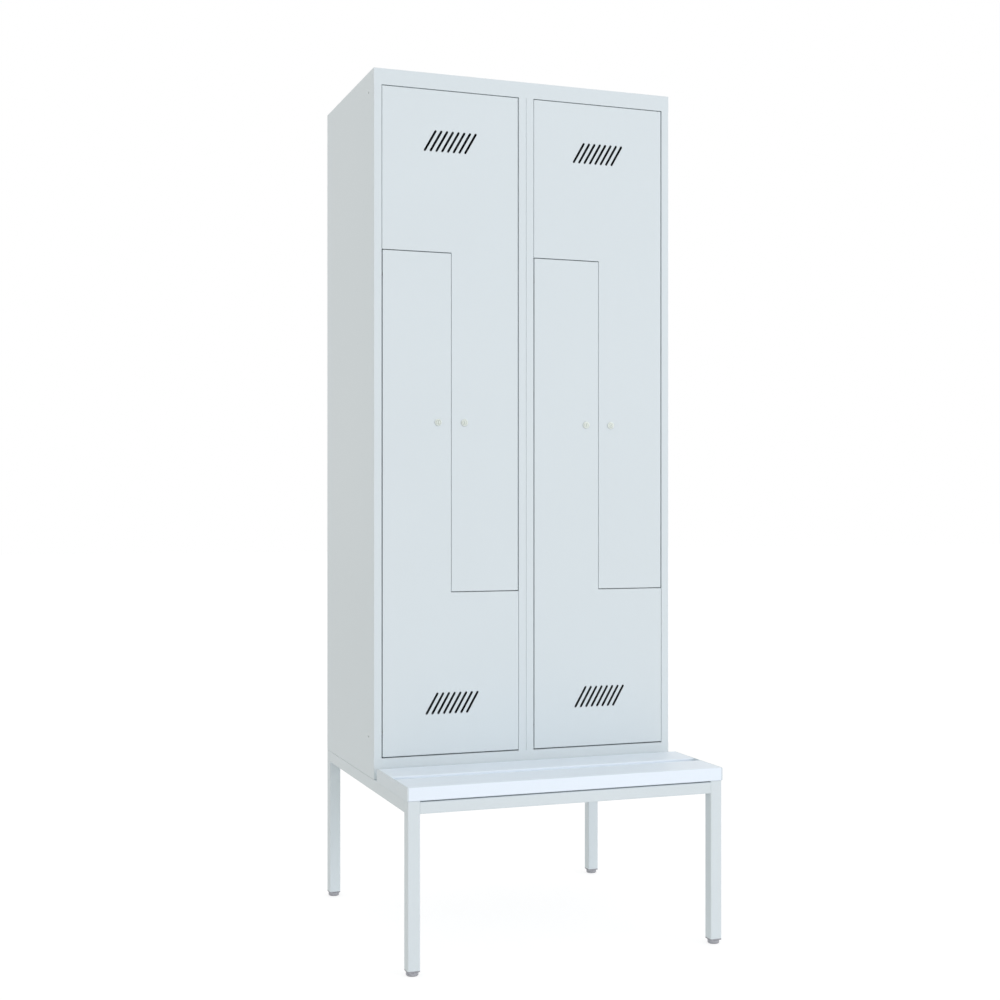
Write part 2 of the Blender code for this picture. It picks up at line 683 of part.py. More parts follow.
def levelling_foot(name):
    """A round glide with a stem up through the insert. Its origin is at the middle of its sole."""
    top = GLIDE_HEIGHT + STEM_LENGTH
    chamfer = GLIDE_RADIUS - GLIDE_SOLE_RADIUS
    profile = [
        (0.0, top),
        (STEM_RADIUS, top),
        (STEM_RADIUS, GLIDE_HEIGHT),
        (GLIDE_RADIUS, GLIDE_HEIGHT),
        (GLIDE_RADIUS, chamfer),
        (GLIDE_SOLE_RADIUS, 0.0),
        (0.0, 0.0),
    ]
    return turned(name, profile)


def plank_chambers(inset):
    """The hollow spaces along a plank, each as (low, high) in its own width and height, this much smaller."""
    clear = PLANK_WIDTH - 2 * PLANK_WALL - (PLANK_CHAMBERS - 1) * PLANK_RIB
    width = clear / PLANK_CHAMBERS
    spaces = []
    for index in range(PLANK_CHAMBERS):
        start = PLANK_WALL + index * (width + PLANK_RIB)
        low = (start + inset, PLANK_WALL + inset)
        high = (start + width - inset, PLANK_THICKNESS - PLANK_WALL - inset)
        spaces.append((low, high))
    return spaces


def plank(name):
    """A hollow bench plank from end cap to end cap. Its origin is at its lower front edge, in the middle."""
    half = LOCKER_WIDTH / 2 + PLANK_END_OVERHANG - CAP_THICKNESS - FIT_GAP
    outline = rounded_rectangle((0.0, 0.0), (PLANK_WIDTH, PLANK_THICKNESS), PLANK_EDGE_RADIUS)
    chambers = [[low, (high[0], low[1]), high, (low[0], high[1])] for low, high in plank_chambers(0.0)]
    return prism(name, outline, "X", -half, half, chambers)


def bench_end_cap(name):
    """The strip over the right ends of both planks, with tongues in their chambers. Its origin is on its outer face."""
    half = PLANK_WIDTH + PLANK_GAP / 2
    outline = rounded_rectangle((-half, 0.0), (half, PLANK_THICKNESS), PLANK_EDGE_RADIUS)
    obj = prism(name, outline, "X", -CAP_THICKNESS, 0.0)
    for plank_name, front in (("front", -half), ("rear", PLANK_GAP / 2)):
        for index, (low, high) in enumerate(plank_chambers(FIT_GAP)):
            start = (-CAP_THICKNESS - FIT_GAP - CAP_TONGUE, front + low[0], low[1])
            end = (-CAP_THICKNESS / 2, front + high[0], high[1])
            join(obj, box(f"{name}_{plank_name}_tongue_{index + 1}", start, end))
    return obj


for leftover in list(bpy.data.objects):
    bpy.data.objects.remove(leftover)
PARTS = new_collection("z_locker")
CUTTERS = new_collection("cutters")
CUTTERS.hide_render = True
CARCASS_FRAME = bpy.data.objects.new("carcass_frame", None)
CARCASS_FRAME.location = (0.0, CARCASS_FRONT_Y, STAND_HEIGHT)
PARTS.objects.link(CARCASS_FRAME)

powder_coat = make_material("light_grey_powder_coat", (0.69, 0.75, 0.78), 0.45)
zinc = make_material("zinc_plated_steel", (0.62, 0.63, 0.64), 0.4, 1.0)
nickel = make_material("nickel_plated_zinc", (0.78, 0.77, 0.74), 0.25, 1.0)
white_plastic = make_material("white_plank_plastic", (0.83, 0.87, 0.92), 0.4)
cap_plastic = make_material("pale_grey_cap_plastic", (0.70, 0.73, 0.74), 0.5)
foot_plastic = make_material("grey_foot_plastic", (0.30, 0.31, 0.32), 0.5)

# Carcass
paint(
    powder_coat,
    side_panel("left_side_panel", COLUMN_X["left"], -1),
    wall("centre_left_panel", COLUMN_X["left"], 1, outer=False),
    wall("centre_right_panel", COLUMN_X["right"], -1, outer=False),
    side_panel("right_side_panel", COLUMN_X["right"], 1),
    back_panel("back_panel"),
    end_panel("top_panel", HEADER_FACE, at_top=True),
    end_panel("bottom_panel", SILL_FACE, at_top=False),
)
divider_mesh = shared_mesh(z_divider("z_divider"), powder_coat)

# Doors, hinges, locks and hooks. The upper door is the lower one turned half round about the Y axis.
pivot = (-PIVOT_FROM_COLUMN, PIVOT_DEPTH, 0.0)
door_mesh = shared_mesh(door("door"), powder_coat, pivot)
bracket_mesh = shared_mesh(hinge_bracket("hinge_bracket"), zinc, smooth=True)
housing_mesh = shared_mesh(lock_housing("lock_housing"), nickel, smooth=True)
plug_mesh = shared_mesh(lock_plug("lock_plug"), nickel, smooth=True)
cam_mesh = shared_mesh(lock_cam("lock_cam"), zinc, smooth=True)
hook_mesh = shared_mesh(coat_hook("coat_hook"), zinc, smooth=True)
for column, column_x in COLUMN_X.items():
    place(f"{column}_z_divider", divider_mesh, (column_x, 0.0, DOORS_MIDDLE_Z))
    for level, side in (("lower", -1), ("upper", 1)):
        name = f"{column}_{level}"
        turn = (0.0, math.pi if level == "upper" else 0.0, 0.0)
        pivot_x = column_x + side * PIVOT_FROM_COLUMN
        place(f"{name}_door", door_mesh, (pivot_x, PIVOT_DEPTH, DOORS_MIDDLE_Z), turn)
        heights = sorted(-side * hinge_z for hinge_z in HINGE_Z)
        for end, height in zip(("bottom", "top"), heights):
            bracket_place = (pivot_x, PIVOT_DEPTH, DOORS_MIDDLE_Z + height)
            place(f"{name}_door_{end}_hinge", bracket_mesh, bracket_place, turn)
        lock_place = (column_x + side * LOCK_FROM_MIDDLE, 0.0, DOORS_MIDDLE_Z)
        place(f"{name}_lock_housing", housing_mesh, lock_place)
        place(f"{name}_lock_plug", plug_mesh, lock_place)
        place(f"{name}_lock_cam", cam_mesh, lock_place)
        ceiling = CARCASS_HEIGHT if level == "upper" else DOORS_MIDDLE_Z + STEP_FROM_MIDDLE
        hook_place = (column_x + side * COLUMN_WIDTH / 4, BACK_PANEL_FRONT, ceiling - HOOK_BELOW_CEILING)
        place(f"{name}_coat_hook", hook_mesh, hook_place)

# Stand and feet
insert_mesh = shared_mesh(foot_insert("foot_insert"), foot_plastic)
foot_mesh = shared_mesh(levelling_foot("levelling_foot"), zinc, smooth=True)
outer_x = LOCKER_WIDTH / 2
inner_x = outer_x - TUBE
rear_y = CARCASS_DEPTH - TUBE
for depth_name, y in (("front", -BENCH_REACH), ("rear", rear_y)):
    for side_name, x in (("left", -outer_x), ("right", inner_x)):
        corner = f"{depth_name}_{side_name}"
        low = (x, y, LEG_BOTTOM)
        high = (x + TUBE, y + TUBE, STAND_TOP)
        paint(powder_coat, square_tube(f"{corner}_leg", low, high, "Z"))
        middle = (x + TUBE / 2, y + TUBE / 2)
        place(f"{corner}_foot_insert", insert_mesh, (*middle, LEG_BOTTOM - FIT_GAP - INSERT_RIM))
        place(f"{corner}_levelling_foot", foot_mesh, (*middle, FLOOR_Z))
rail_bottom = STAND_TOP - TUBE
for side_name, x in (("left", -outer_x), ("right", inner_x)):
    low = (x, TUBE + FIT_GAP - BENCH_REACH, rail_bottom)
    high = (x + TUBE, rear_y - FIT_GAP, STAND_TOP)
    paint(powder_coat, square_tube(f"{side_name}_side_rail", low, high, "Y"))
for rail_name, y, top in (
    ("front", -BENCH_REACH, STAND_TOP - FRONT_RAIL_DROP),
    ("middle", 0.0, STAND_TOP),
    ("rear", rear_y, STAND_TOP),
):
    low = (FIT_GAP - inner_x, y, rail_bottom)
    high = (inner_x - FIT_GAP, y + TUBE, top)
    paint(powder_coat, square_tube(f"{rail_name}_rail", low, high, "X"))

# Bench
plank_mesh = shared_mesh(plank("plank"), white_plastic, smooth=True)
cap_mesh = shared_mesh(bench_end_cap("bench_end_cap"), cap_plastic, smooth=True)
cap_x = LOCKER_WIDTH / 2 + PLANK_END_OVERHANG
cap_y = PLANK_FRONT + PLANK_WIDTH + PLANK_GAP / 2
place("front_plank", plank_mesh, (0.0, PLANK_FRONT, 0.0))
place("rear_plank", plank_mesh, (0.0, PLANK_FRONT + PLANK_WIDTH + PLANK_GAP, 0.0))
place("right_bench_end_cap", cap_mesh, (cap_x, cap_y, 0.0))
place("left_bench_end_cap", cap_mesh, (-cap_x, cap_y, 0.0), (0.0, 0.0, math.pi))
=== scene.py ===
import json
import math

import bmesh
import bpy
from mathutils import Matrix, Vector

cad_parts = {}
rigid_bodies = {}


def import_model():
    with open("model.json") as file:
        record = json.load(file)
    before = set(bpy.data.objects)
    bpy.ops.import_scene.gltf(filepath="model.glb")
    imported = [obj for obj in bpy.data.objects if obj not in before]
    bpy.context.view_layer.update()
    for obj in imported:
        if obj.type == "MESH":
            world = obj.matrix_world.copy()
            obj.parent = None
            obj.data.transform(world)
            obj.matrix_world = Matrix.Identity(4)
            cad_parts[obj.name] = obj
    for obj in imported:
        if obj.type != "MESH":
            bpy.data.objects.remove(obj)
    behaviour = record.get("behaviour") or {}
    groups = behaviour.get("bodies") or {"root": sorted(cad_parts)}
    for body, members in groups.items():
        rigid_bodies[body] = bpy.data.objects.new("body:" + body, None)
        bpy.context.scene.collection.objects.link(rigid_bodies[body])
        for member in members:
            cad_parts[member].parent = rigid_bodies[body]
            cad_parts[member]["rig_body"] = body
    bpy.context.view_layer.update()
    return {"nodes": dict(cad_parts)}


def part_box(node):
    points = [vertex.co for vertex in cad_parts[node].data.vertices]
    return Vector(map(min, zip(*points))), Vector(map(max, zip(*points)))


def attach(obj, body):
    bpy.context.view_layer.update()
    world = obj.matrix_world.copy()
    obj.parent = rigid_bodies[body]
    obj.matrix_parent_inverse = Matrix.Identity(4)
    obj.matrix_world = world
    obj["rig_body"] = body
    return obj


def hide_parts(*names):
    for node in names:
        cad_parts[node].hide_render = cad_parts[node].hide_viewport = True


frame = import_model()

# Stand: legs and rails of 30 mm square steel tube with rounded corners. The rails are butt
# welded to the legs, and the whole frame is powder-coated light grey like the lockers above it.
CORNERS = ("front_left", "front_right", "rear_left", "rear_right")
NEAR = 0.00001
TUBE_HALF = 0.015
TUBE_WALL = 0.002
TUBE_CORNER = 0.0025
BEAD_RADIUS = 0.0009
BEAD_SINK = 0.0009
SMOOTH_BELOW = 38
GRAIN_RELIEF = 0.0002


def take(piece):
    """Makes a piece the active one, and the only one that is selected."""
    bpy.ops.object.select_all(action="DESELECT")
    piece.select_set(True)
    bpy.context.view_layer.objects.active = piece


def edit(piece):
    """Opens a piece in edit mode with nothing of it selected."""
    take(piece)
    bpy.ops.object.mode_set(mode="EDIT")
    bpy.ops.mesh.select_all(action="DESELECT")


def done():
    """Leaves edit mode."""
    bpy.ops.object.mode_set(mode="OBJECT")


def pick(piece, kind, wanted):
    """Selects the vertices, edges or faces whose middle passes the test, and says how many there are."""
    bpy.ops.mesh.select_mode(type=kind)
    bpy.ops.mesh.select_all(action="DESELECT")
    mesh = bmesh.from_edit_mesh(piece.data)
    found = 0
    for part in {"VERT": mesh.verts, "EDGE": mesh.edges, "FACE": mesh.faces}[kind]:
        corners = [part] if kind == "VERT" else part.verts
        middle = sum((corner.co for corner in corners), Vector()) / len(corners)
        if wanted(middle, part):
            part.select_set(True)
            found += 1
    bmesh.update_edit_mesh(piece.data)
    return found


def pick_all():
    """Selects all of the piece in edit mode."""
    bpy.ops.mesh.select_all(action="SELECT")


def pull(*move):
    """Extrudes what is selected by this much."""
    bpy.ops.mesh.extrude_region_move(TRANSFORM_OT_translate={"value": move})


def settle(piece, name=None):
    """Writes a piece's place, turn and scale into its mesh."""
    take(piece)
    bpy.ops.object.transform_apply(location=True, rotation=True, scale=True)
    if name:
        piece.name = name
        piece.data.name = name
    return piece


def finish_with(piece, kind, **values):
    """Adds one modifier to a piece and applies it."""
    take(piece)
    step = piece.modifiers.new(kind.lower(), kind)
    for setting, value in values.items():
        setattr(step, setting, value)
    bpy.ops.object.modifier_apply(modifier=step.name)


def face_outwards(piece):
    """Turns an open sheet's faces so that its largest one looks away from the middle of the piece."""
    edit(piece)
    pick_all()
    bpy.ops.mesh.normals_make_consistent(inside=False)
    mesh = bmesh.from_edit_mesh(piece.data)
    corners = [Vector(corner) for corner in piece.bound_box]
    middle = sum(corners, Vector()) / len(corners)
    largest = max(mesh.faces, key=lambda face: face.calc_area())
    if largest.normal.dot(largest.calc_center_median() - middle) < 0:
        bpy.ops.mesh.flip_normals()
    done()


def give_thickness(piece, thickness, offset=-1.0):
    """Thickens an open sheet, inwards unless the offset says otherwise."""
    face_outwards(piece)
    finish_with(piece, "SOLIDIFY", thickness=thickness, offset=offset, use_even_offset=True)


def join_to(piece, *others):
    """Makes the others part of a piece."""
    take(piece)
    for other in others:
        other.select_set(True)
    bpy.ops.object.join()
    return piece


def smooth(piece, below=SMOOTH_BELOW):
    """Shades rounded edges smooth and keeps the flat faces flat."""
    take(piece)
    bpy.ops.object.shade_smooth_by_angle(angle=math.radians(below))
    finish_with(piece, "WEIGHTED_NORMAL", mode="FACE_AREA", weight=100, keep_sharp=True)


def copy_of(piece, name, move=(0, 0, 0), turn=Matrix.Identity(4)):
    """A copy with its own mesh, turned by a matrix and then moved."""
    take(piece)
    bpy.ops.object.duplicate(linked=False)
    twin = bpy.context.object
    twin.matrix_world = Matrix.Translation(Vector(move)) @ turn
    return settle(twin, name)


def fit(piece, node, material):
    """Puts a finished piece in a CAD node's place, on the same body, in its own finish."""
    piece.data.materials.clear()
    piece.data.materials.append(material)
    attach(piece, frame["nodes"][node]["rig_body"])
    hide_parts(node)


def linear(red, green, blue):
    """A screen colour, 0 to 255, as the light that it stands for."""
    return tuple(
        ((value / 255 + 0.055) / 1.055) ** 2.4 if value > 10 else value / 255 / 12.92
        for value in (red, green, blue)
    )


def feed(tree, node, given):
    """Gives each of these inputs of a node its value, or a link from another node's output."""
    for socket, value in given.items():
        if isinstance(value, bpy.types.NodeSocket):
            tree.links.new(value, node.inputs[socket])
        else:
            node.inputs[socket].default_value = value


def add_node(tree, kind, given, **settings):
    """A new node with its settings and inputs."""
    node = tree.nodes.new(kind)
    for setting, value in settings.items():
        setattr(node, setting, value)
    feed(tree, node, given)
    return node


def worked_out(tree, kind, *given):
    """What a Math node makes of its inputs."""
    return add_node(tree, "ShaderNodeMath", dict(enumerate(given)), operation=kind).outputs[0]


def make_fine_grain():
    """Grain of a sprayed or moulded surface, with slow clouds in its tone and gloss."""
    group = bpy.data.node_groups.new("fine_grain", "ShaderNodeTree")
    for way, kind, name in (
        ("INPUT", "Color", "Colour"),
        ("INPUT", "Float", "Grain Scale"),
        ("INPUT", "Float", "Cloud Scale"),
        ("INPUT", "Float", "Tone Change"),
        ("INPUT", "Float", "Roughness"),
        ("INPUT", "Float", "Roughness Change"),
        ("OUTPUT", "Color", "Colour"),
        ("OUTPUT", "Float", "Roughness"),
        ("OUTPUT", "Float", "Height"),
    ):
        group.interface.new_socket(name, in_out=way, socket_type=f"NodeSocket{kind}")
    given = add_node(group, "NodeGroupInput", {}).outputs
    place = add_node(group, "ShaderNodeTexCoord", {}).outputs["Object"]
    noise = "ShaderNodeTexNoise"
    grain = add_node(group, noise, {"Vector": place, "Scale": given["Grain Scale"], "Detail": 2.0})
    cloud = add_node(group, noise, {"Vector": place, "Scale": given["Cloud Scale"], "Detail": 3.0})
    centred = worked_out(group, "SUBTRACT", cloud.outputs["Fac"], 0.5)
    tone = worked_out(group, "MULTIPLY_ADD", centred, given["Tone Change"], 1.0)
    shade = add_node(group, "ShaderNodeVectorMath", {0: given["Colour"], "Scale": tone}, operation="SCALE")
    gloss = worked_out(group, "MULTIPLY_ADD", centred, given["Roughness Change"], given["Roughness"])
    results = {"Colour": shade.outputs[0], "Roughness": gloss, "Height": grain.outputs["Fac"]}
    add_node(group, "NodeGroupOutput", results)
    return group


fine_grain = make_fine_grain()


def grained_material(name, colour, grain, bump, roughness, tone=0.03, metallic=0.0, cloud=4.0, change=0.08):
    """A sprayed, moulded or plated finish from the shared grain."""
    material = bpy.data.materials.new(name)
    material.use_nodes = True
    tree = material.node_tree
    settings = {
        "Colour": (*colour, 1),
        "Grain Scale": grain,
        "Cloud Scale": cloud,
        "Tone Change": tone,
        "Roughness": roughness,
        "Roughness Change": change,
    }
    surface = add_node(tree, "ShaderNodeGroup", settings, node_tree=fine_grain).outputs
    relief = {"Strength": bump, "Distance": GRAIN_RELIEF, "Height": surface["Height"]}
    looks = {
        "Metallic": metallic,
        "Base Color": surface["Colour"],
        "Roughness": surface["Roughness"],
        "Normal": add_node(tree, "ShaderNodeBump", relief).outputs["Normal"],
    }
    feed(tree, tree.nodes["Principled BSDF"], looks)
    return material


powder_coat = grained_material(
    "light_grey_powder_coat", linear(214, 223, 226), grain=620.0, bump=0.22, roughness=0.42
)


def turned_to(axis):
    """The turn that lays an upright shape along an axis."""
    return {"X": (0, math.pi / 2, 0), "Y": (math.pi / 2, 0, 0), "Z": (0, 0, 0)}[axis]


def hollow_section(name, low, high, axis, corner, segments):
    """The skin of a bar between two corners: a rounded section, extruded along the axis."""
    size = high - low
    across = {"X": (size.z, size.y), "Y": (size.x, size.z), "Z": (size.x, size.y)}[axis]
    start = (low + high) / 2
    number = "XYZ".index(axis)
    start[number] = low[number]
    bpy.ops.mesh.primitive_plane_add(size=1, location=start, rotation=turned_to(axis))
    skin = bpy.context.object
    skin.scale = (*across, 1)
    settle(skin, name)
    edit(skin)
    pick_all()
    bpy.ops.mesh.bevel(offset=corner, segments=segments, affect="VERTICES", clamp_overlap=False)
    pick_all()
    bpy.ops.mesh.delete(type="ONLY_FACE")
    pick_all()
    pull(*[size[number] if index == number else 0 for index in range(3)])
    done()
    return skin


def square_tube(name, node, axis, ends_welded=False):
    """A steel tube in a CAD node's place, with or without weld round its ends."""
    low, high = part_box(node)
    tube = hollow_section(name, low, high, axis, TUBE_CORNER, 5)
    number = "XYZ".index(axis)
    beads = weld_beads(tube, number, low[number], high[number]) if ends_welded else []
    give_thickness(tube, TUBE_WALL)
    smooth(tube)
    return join_to(tube, *beads) if beads else tube


def weld_beads(tube, number, *ends):
    """A thin bead of weld round each end of a rail, swept along the edge of its section."""
    beads = []
    inward = BEAD_SINK / TUBE_HALF
    for end in ends:
        edit(tube)
        pick(tube, "EDGE", lambda middle, edge: all(abs(v.co[number] - end) < NEAR for v in edge.verts))
        bpy.ops.mesh.duplicate()
        bpy.ops.mesh.separate(type="SELECTED")
        done()
        line = next(o for o in bpy.context.selected_objects if o is not tube)
        middle = sum((v.co for v in line.data.vertices), Vector()) / len(line.data.vertices)
        line.scale = [1 if index == number else 1 - inward for index in range(3)]
        line.location = [0 if index == number else middle[index] * inward for index in range(3)]
        settle(line)
        bpy.ops.object.convert(target="CURVE")
        line.data.bevel_depth = BEAD_RADIUS
        line.data.bevel_resolution = 2
        bpy.ops.object.convert(target="MESH")
        bpy.ops.object.shade_smooth()
        beads.append(line)
    return beads


for corner in CORNERS:
    tube = square_tube(f"{corner}_leg_tube", f"{corner}_leg", "Z")
    fit(tube, f"{corner}_leg", powder_coat)
for rail, axis in (("left_side", "Y"), ("right_side", "Y"), ("front", "X"), ("middle", "X"), ("rear", "X")):
    tube = square_tube(f"{rail}_rail_tube", f"{rail}_rail", axis, ends_welded=True)
    fit(tube, f"{rail}_rail", powder_coat)

# Leg inserts: moulded plugs of grey plastic, pressed into the open ends of the legs. Each has a
# square rim that covers the tube's edge, and a bore for the foot's stem.
RIM_HEIGHT = 0.003
RIM_CORNER = 0.0025
RIM_EDGE = 0.0005
PLUG_INSET = 0.0024
STEM_BORE = 0.0043
OVERRUN = 0.005
STRAIGHT = 0.999


def cut(piece, *cutters):
    """Takes the cutters' shapes out of a piece, then throws them away."""
    for cutter in cutters:
        finish_with(piece, "BOOLEAN", operation="DIFFERENCE", solver="EXACT", object=cutter)
        bpy.data.objects.remove(cutter)


def cylinder(radius, start, length, axis="Z", sides=32, tip=None):
    """A round bar that runs from its start along an axis, or a cone where its tip has another radius."""
    middle = Vector(start)
    middle["XYZ".index(axis)] += length / 2
    bpy.ops.mesh.primitive_cone_add(
        vertices=sides,
        radius1=radius,
        radius2=radius if tip is None else tip,
        depth=abs(length),
        location=middle,
        rotation=turned_to(axis),
    )
    return settle(bpy.context.object)


def block(low, high):
    """A block between two corners, to be shaped further."""
    low, high = Vector(low), Vector(high)
    bpy.ops.mesh.primitive_cube_add(size=1, location=(low + high) / 2)
    bpy.context.object.scale = high - low
    return settle(bpy.context.object)


def bevel_edges(piece, radius, wanted, segments=3):
    """Rounds the edges that pass the test."""
    edit(piece)
    if pick(piece, "EDGE", wanted):
        bpy.ops.mesh.bevel(offset=radius, segments=segments, affect="EDGES", clamp_overlap=True)
    done()


def along(edge, letter):
    """Does an edge run along this axis?"""
    way = edge.verts[1].co - edge.verts[0].co
    return abs(way["XYZ".index(letter)]) > STRAIGHT * way.length


low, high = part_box("front_left_foot_insert")
rim_top = low.z + RIM_HEIGHT
insert = settle(block(low, (high.x, high.y, rim_top)), "front_left_insert_plug")
bevel_edges(insert, RIM_CORNER, lambda middle, edge: along(edge, "Z"), 4)
edit(insert)
pick(insert, "FACE", lambda middle, face: middle.z > rim_top - NEAR)
bpy.ops.mesh.inset(thickness=PLUG_INSET)
pull(0, 0, high.z - rim_top)
done()
bevel_edges(insert, RIM_EDGE, lambda middle, edge: abs(middle.z - low.z) < NEAR, 2)
bore_at = (low + high) / 2
cut(insert, cylinder(STEM_BORE, (bore_at.x, bore_at.y, low.z - OVERRUN), high.z - low.z + 2 * OVERRUN))
smooth(insert)

insert_plastic = grained_material(
    "grey_foot_plastic", linear(160, 161, 167), grain=900.0, bump=0.30, roughness=0.50, tone=0.06
)

for corner in CORNERS:
    piece = insert
    if corner != "front_left":
        piece = copy_of(insert, f"{corner}_insert_plug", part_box(f"{corner}_foot_insert")[0] - low)
    fit(piece, f"{corner}_foot_insert", insert_plastic)

# Levelling feet: turned and zinc-plated steel, each with a broad round sole, a groove turned in
# its rim for the fingers, and a threaded stem that screws up into the leg's insert.
SOLE_RADIUS = 0.0125
SOLE_EDGE = 0.0004
SOLE_HEIGHT = 0.0018
FOOT_RADIUS = 0.0145
FOOT_EDGE = 0.0006
FOOT_HEIGHT = 0.0094
FOOT_STEM = 0.004
THREAD_PITCH = 0.00125
THREAD_DEPTH = 0.0004
THREAD_SMOOTH_BELOW = 30
RIM_GROOVE = 0.0005
GROOVE_HEIGHT = 0.0052

low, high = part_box("front_left_levelling_foot")
foot_at = Vector(((low.x + high.x) / 2, (low.y + high.y) / 2, low.z))
outline = [
    (0.0, 0.0),
    (SOLE_RADIUS - SOLE_EDGE, 0.0),
    (SOLE_RADIUS, SOLE_EDGE / 2),
    (FOOT_RADIUS - FOOT_EDGE / 2, SOLE_HEIGHT),
    (FOOT_RADIUS, SOLE_HEIGHT + FOOT_EDGE),
    (FOOT_RADIUS, GROOVE_HEIGHT - RIM_GROOVE),
    (FOOT_RADIUS - RIM_GROOVE, GROOVE_HEIGHT),
    (FOOT_RADIUS, GROOVE_HEIGHT + RIM_GROOVE),
    (FOOT_RADIUS, FOOT_HEIGHT - FOOT_EDGE),
    (FOOT_RADIUS - FOOT_EDGE, FOOT_HEIGHT),
    (FOOT_STEM, FOOT_HEIGHT),
]
turns = int((high.z - low.z - FOOT_HEIGHT) / THREAD_PITCH)
for turn in range(turns):
    base = FOOT_HEIGHT + turn * THREAD_PITCH
    outline += [(FOOT_STEM - THREAD_DEPTH, base + THREAD_PITCH / 2), (FOOT_STEM, base + THREAD_PITCH)]
outline += [(FOOT_STEM - THREAD_DEPTH, high.z - low.z), (0.0, high.z - low.z)]


def spun(name, outline, centre, steps=32):
    """A turned piece: an outline of (radius, height) points, spun about a line straight up."""
    bpy.ops.mesh.primitive_circle_add(vertices=3, location=(0, 0, 0))
    piece = bpy.context.object
    edit(piece)
    pick_all()
    bpy.ops.mesh.delete(type="VERT")
    mesh = bmesh.from_edit_mesh(piece.data)
    points = [mesh.verts.new((radius, 0, height)) for radius, height in outline]
    for pair in zip(points, points[1:]):
        mesh.edges.new(pair)
    bmesh.update_edit_mesh(piece.data)
    pick_all()
    bpy.ops.mesh.spin(steps=steps, angle=2 * math.pi, center=(0, 0, 0), axis=(0, 0, 1))
    pick_all()
    bpy.ops.mesh.remove_doubles(threshold=NEAR)
    bpy.ops.mesh.normals_make_consistent(inside=False)
    done()
    piece.location = centre
    return settle(piece, name)


foot = spun("front_left_foot_glide", outline, foot_at)
smooth(foot, THREAD_SMOOTH_BELOW)

zinc_plate = grained_material(
    "zinc_plated_steel",
    linear(194, 195, 201),
    grain=1500.0,
    bump=0.10,
    roughness=0.36,
    tone=0.10,
    metallic=1.0,
    cloud=60.0,
    change=0.15,
)

for corner in CORNERS:
    piece = foot
    if corner != "front_left":
        piece = copy_of(foot, f"{corner}_foot_glide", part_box(f"{corner}_levelling_foot")[0] - low)
    fit(piece, f"{corner}_levelling_foot", zinc_plate)

# Walls of the carcass: 1 mm steel sheet, folded on a press brake and powder-coated. Each wall
# turns round its front edge into a 20 mm post face, goes back, and ends in a lip that the doors
# close against. Header and sill cover the posts' ends, so the folds stop short of both.
SHEET = 0.001
FIT = 0.0003
FOLD_RADIUS = 0.0011
LEAST_FOLD = 30
WALL_LIFT = 0.0005
CARCASS_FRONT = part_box("left_side_panel")[0].y
CARCASS_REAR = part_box("left_side_panel")[1].y
CARCASS_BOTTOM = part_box("bottom_panel")[0].z
CARCASS_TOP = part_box("top_panel")[1].z
HALF_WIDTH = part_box("top_panel")[1].x
COLUMN_X = {"left": -HALF_WIDTH / 2, "right": HALF_WIDTH / 2}
POST_FACE = 0.020
LIP = 0.014
HEADER_FACE = 0.040
SILL_FACE = 0.051
REAR_RETURN = 0.013
STOP_BACK = CARCASS_FRONT + 0.01946
BACK_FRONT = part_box("back_panel")[0].y
HOLE_RADIUS = 0.0025
HOLES_BEHIND_FRONT = 0.051
HOLE_BELOW_TOP = 0.050
HOLE_ABOVE_BOTTOM = 0.099


def folded_sheet(name, corner, length, folds):
    """A strip of sheet added at its place, whose free edge is then extruded once for each fold."""
    corner, length, first = Vector(corner), Vector(length), Vector(folds[0])
    bpy.ops.mesh.primitive_plane_add(size=1)
    sheet = bpy.context.object
    turn = Matrix((first, length, first.cross(length).normalized())).transposed().to_4x4()
    sheet.matrix_world = Matrix.Translation(corner + (first + length) / 2) @ turn
    settle(sheet, name)
    edit(sheet)
    free = corner + first + length / 2
    pick(sheet, "EDGE", lambda middle, edge: (middle - free).length < NEAR)
    for fold in folds[1:]:
        pull(*fold)
    done()
    return sheet


def slice_at(piece, letter, *places):
    """Cuts a piece's faces in two along a plane across this axis."""
    number = "XYZ".index(letter)
    for place in places:
        edit(piece)
        pick_all()
        point = [place if index == number else 0 for index in range(3)]
        normal = [1 if index == number else 0 for index in range(3)]
        bpy.ops.mesh.bisect(plane_co=point, plane_no=normal)
        done()


def trim(piece, unwanted):
    """Deletes the faces whose middle passes the test."""
    edit(piece)
    if pick(piece, "FACE", unwanted):
        bpy.ops.mesh.delete(type="FACE")
    done()


def is_fold(middle, edge):
    """Does an edge lie between two faces that meet at an angle?"""
    return len(edge.link_faces) == 2 and edge.calc_face_angle(0) > math.radians(LEAST_FOLD)


def round_folds(piece, radius=FOLD_RADIUS, segments=4):
    """Rounds every fold of an open sheet."""
    edit(piece)
    pick(piece, "EDGE", is_fold)
    bpy.ops.mesh.bevel(offset=radius, segments=segments, affect="EDGES", clamp_overlap=False)
    done()


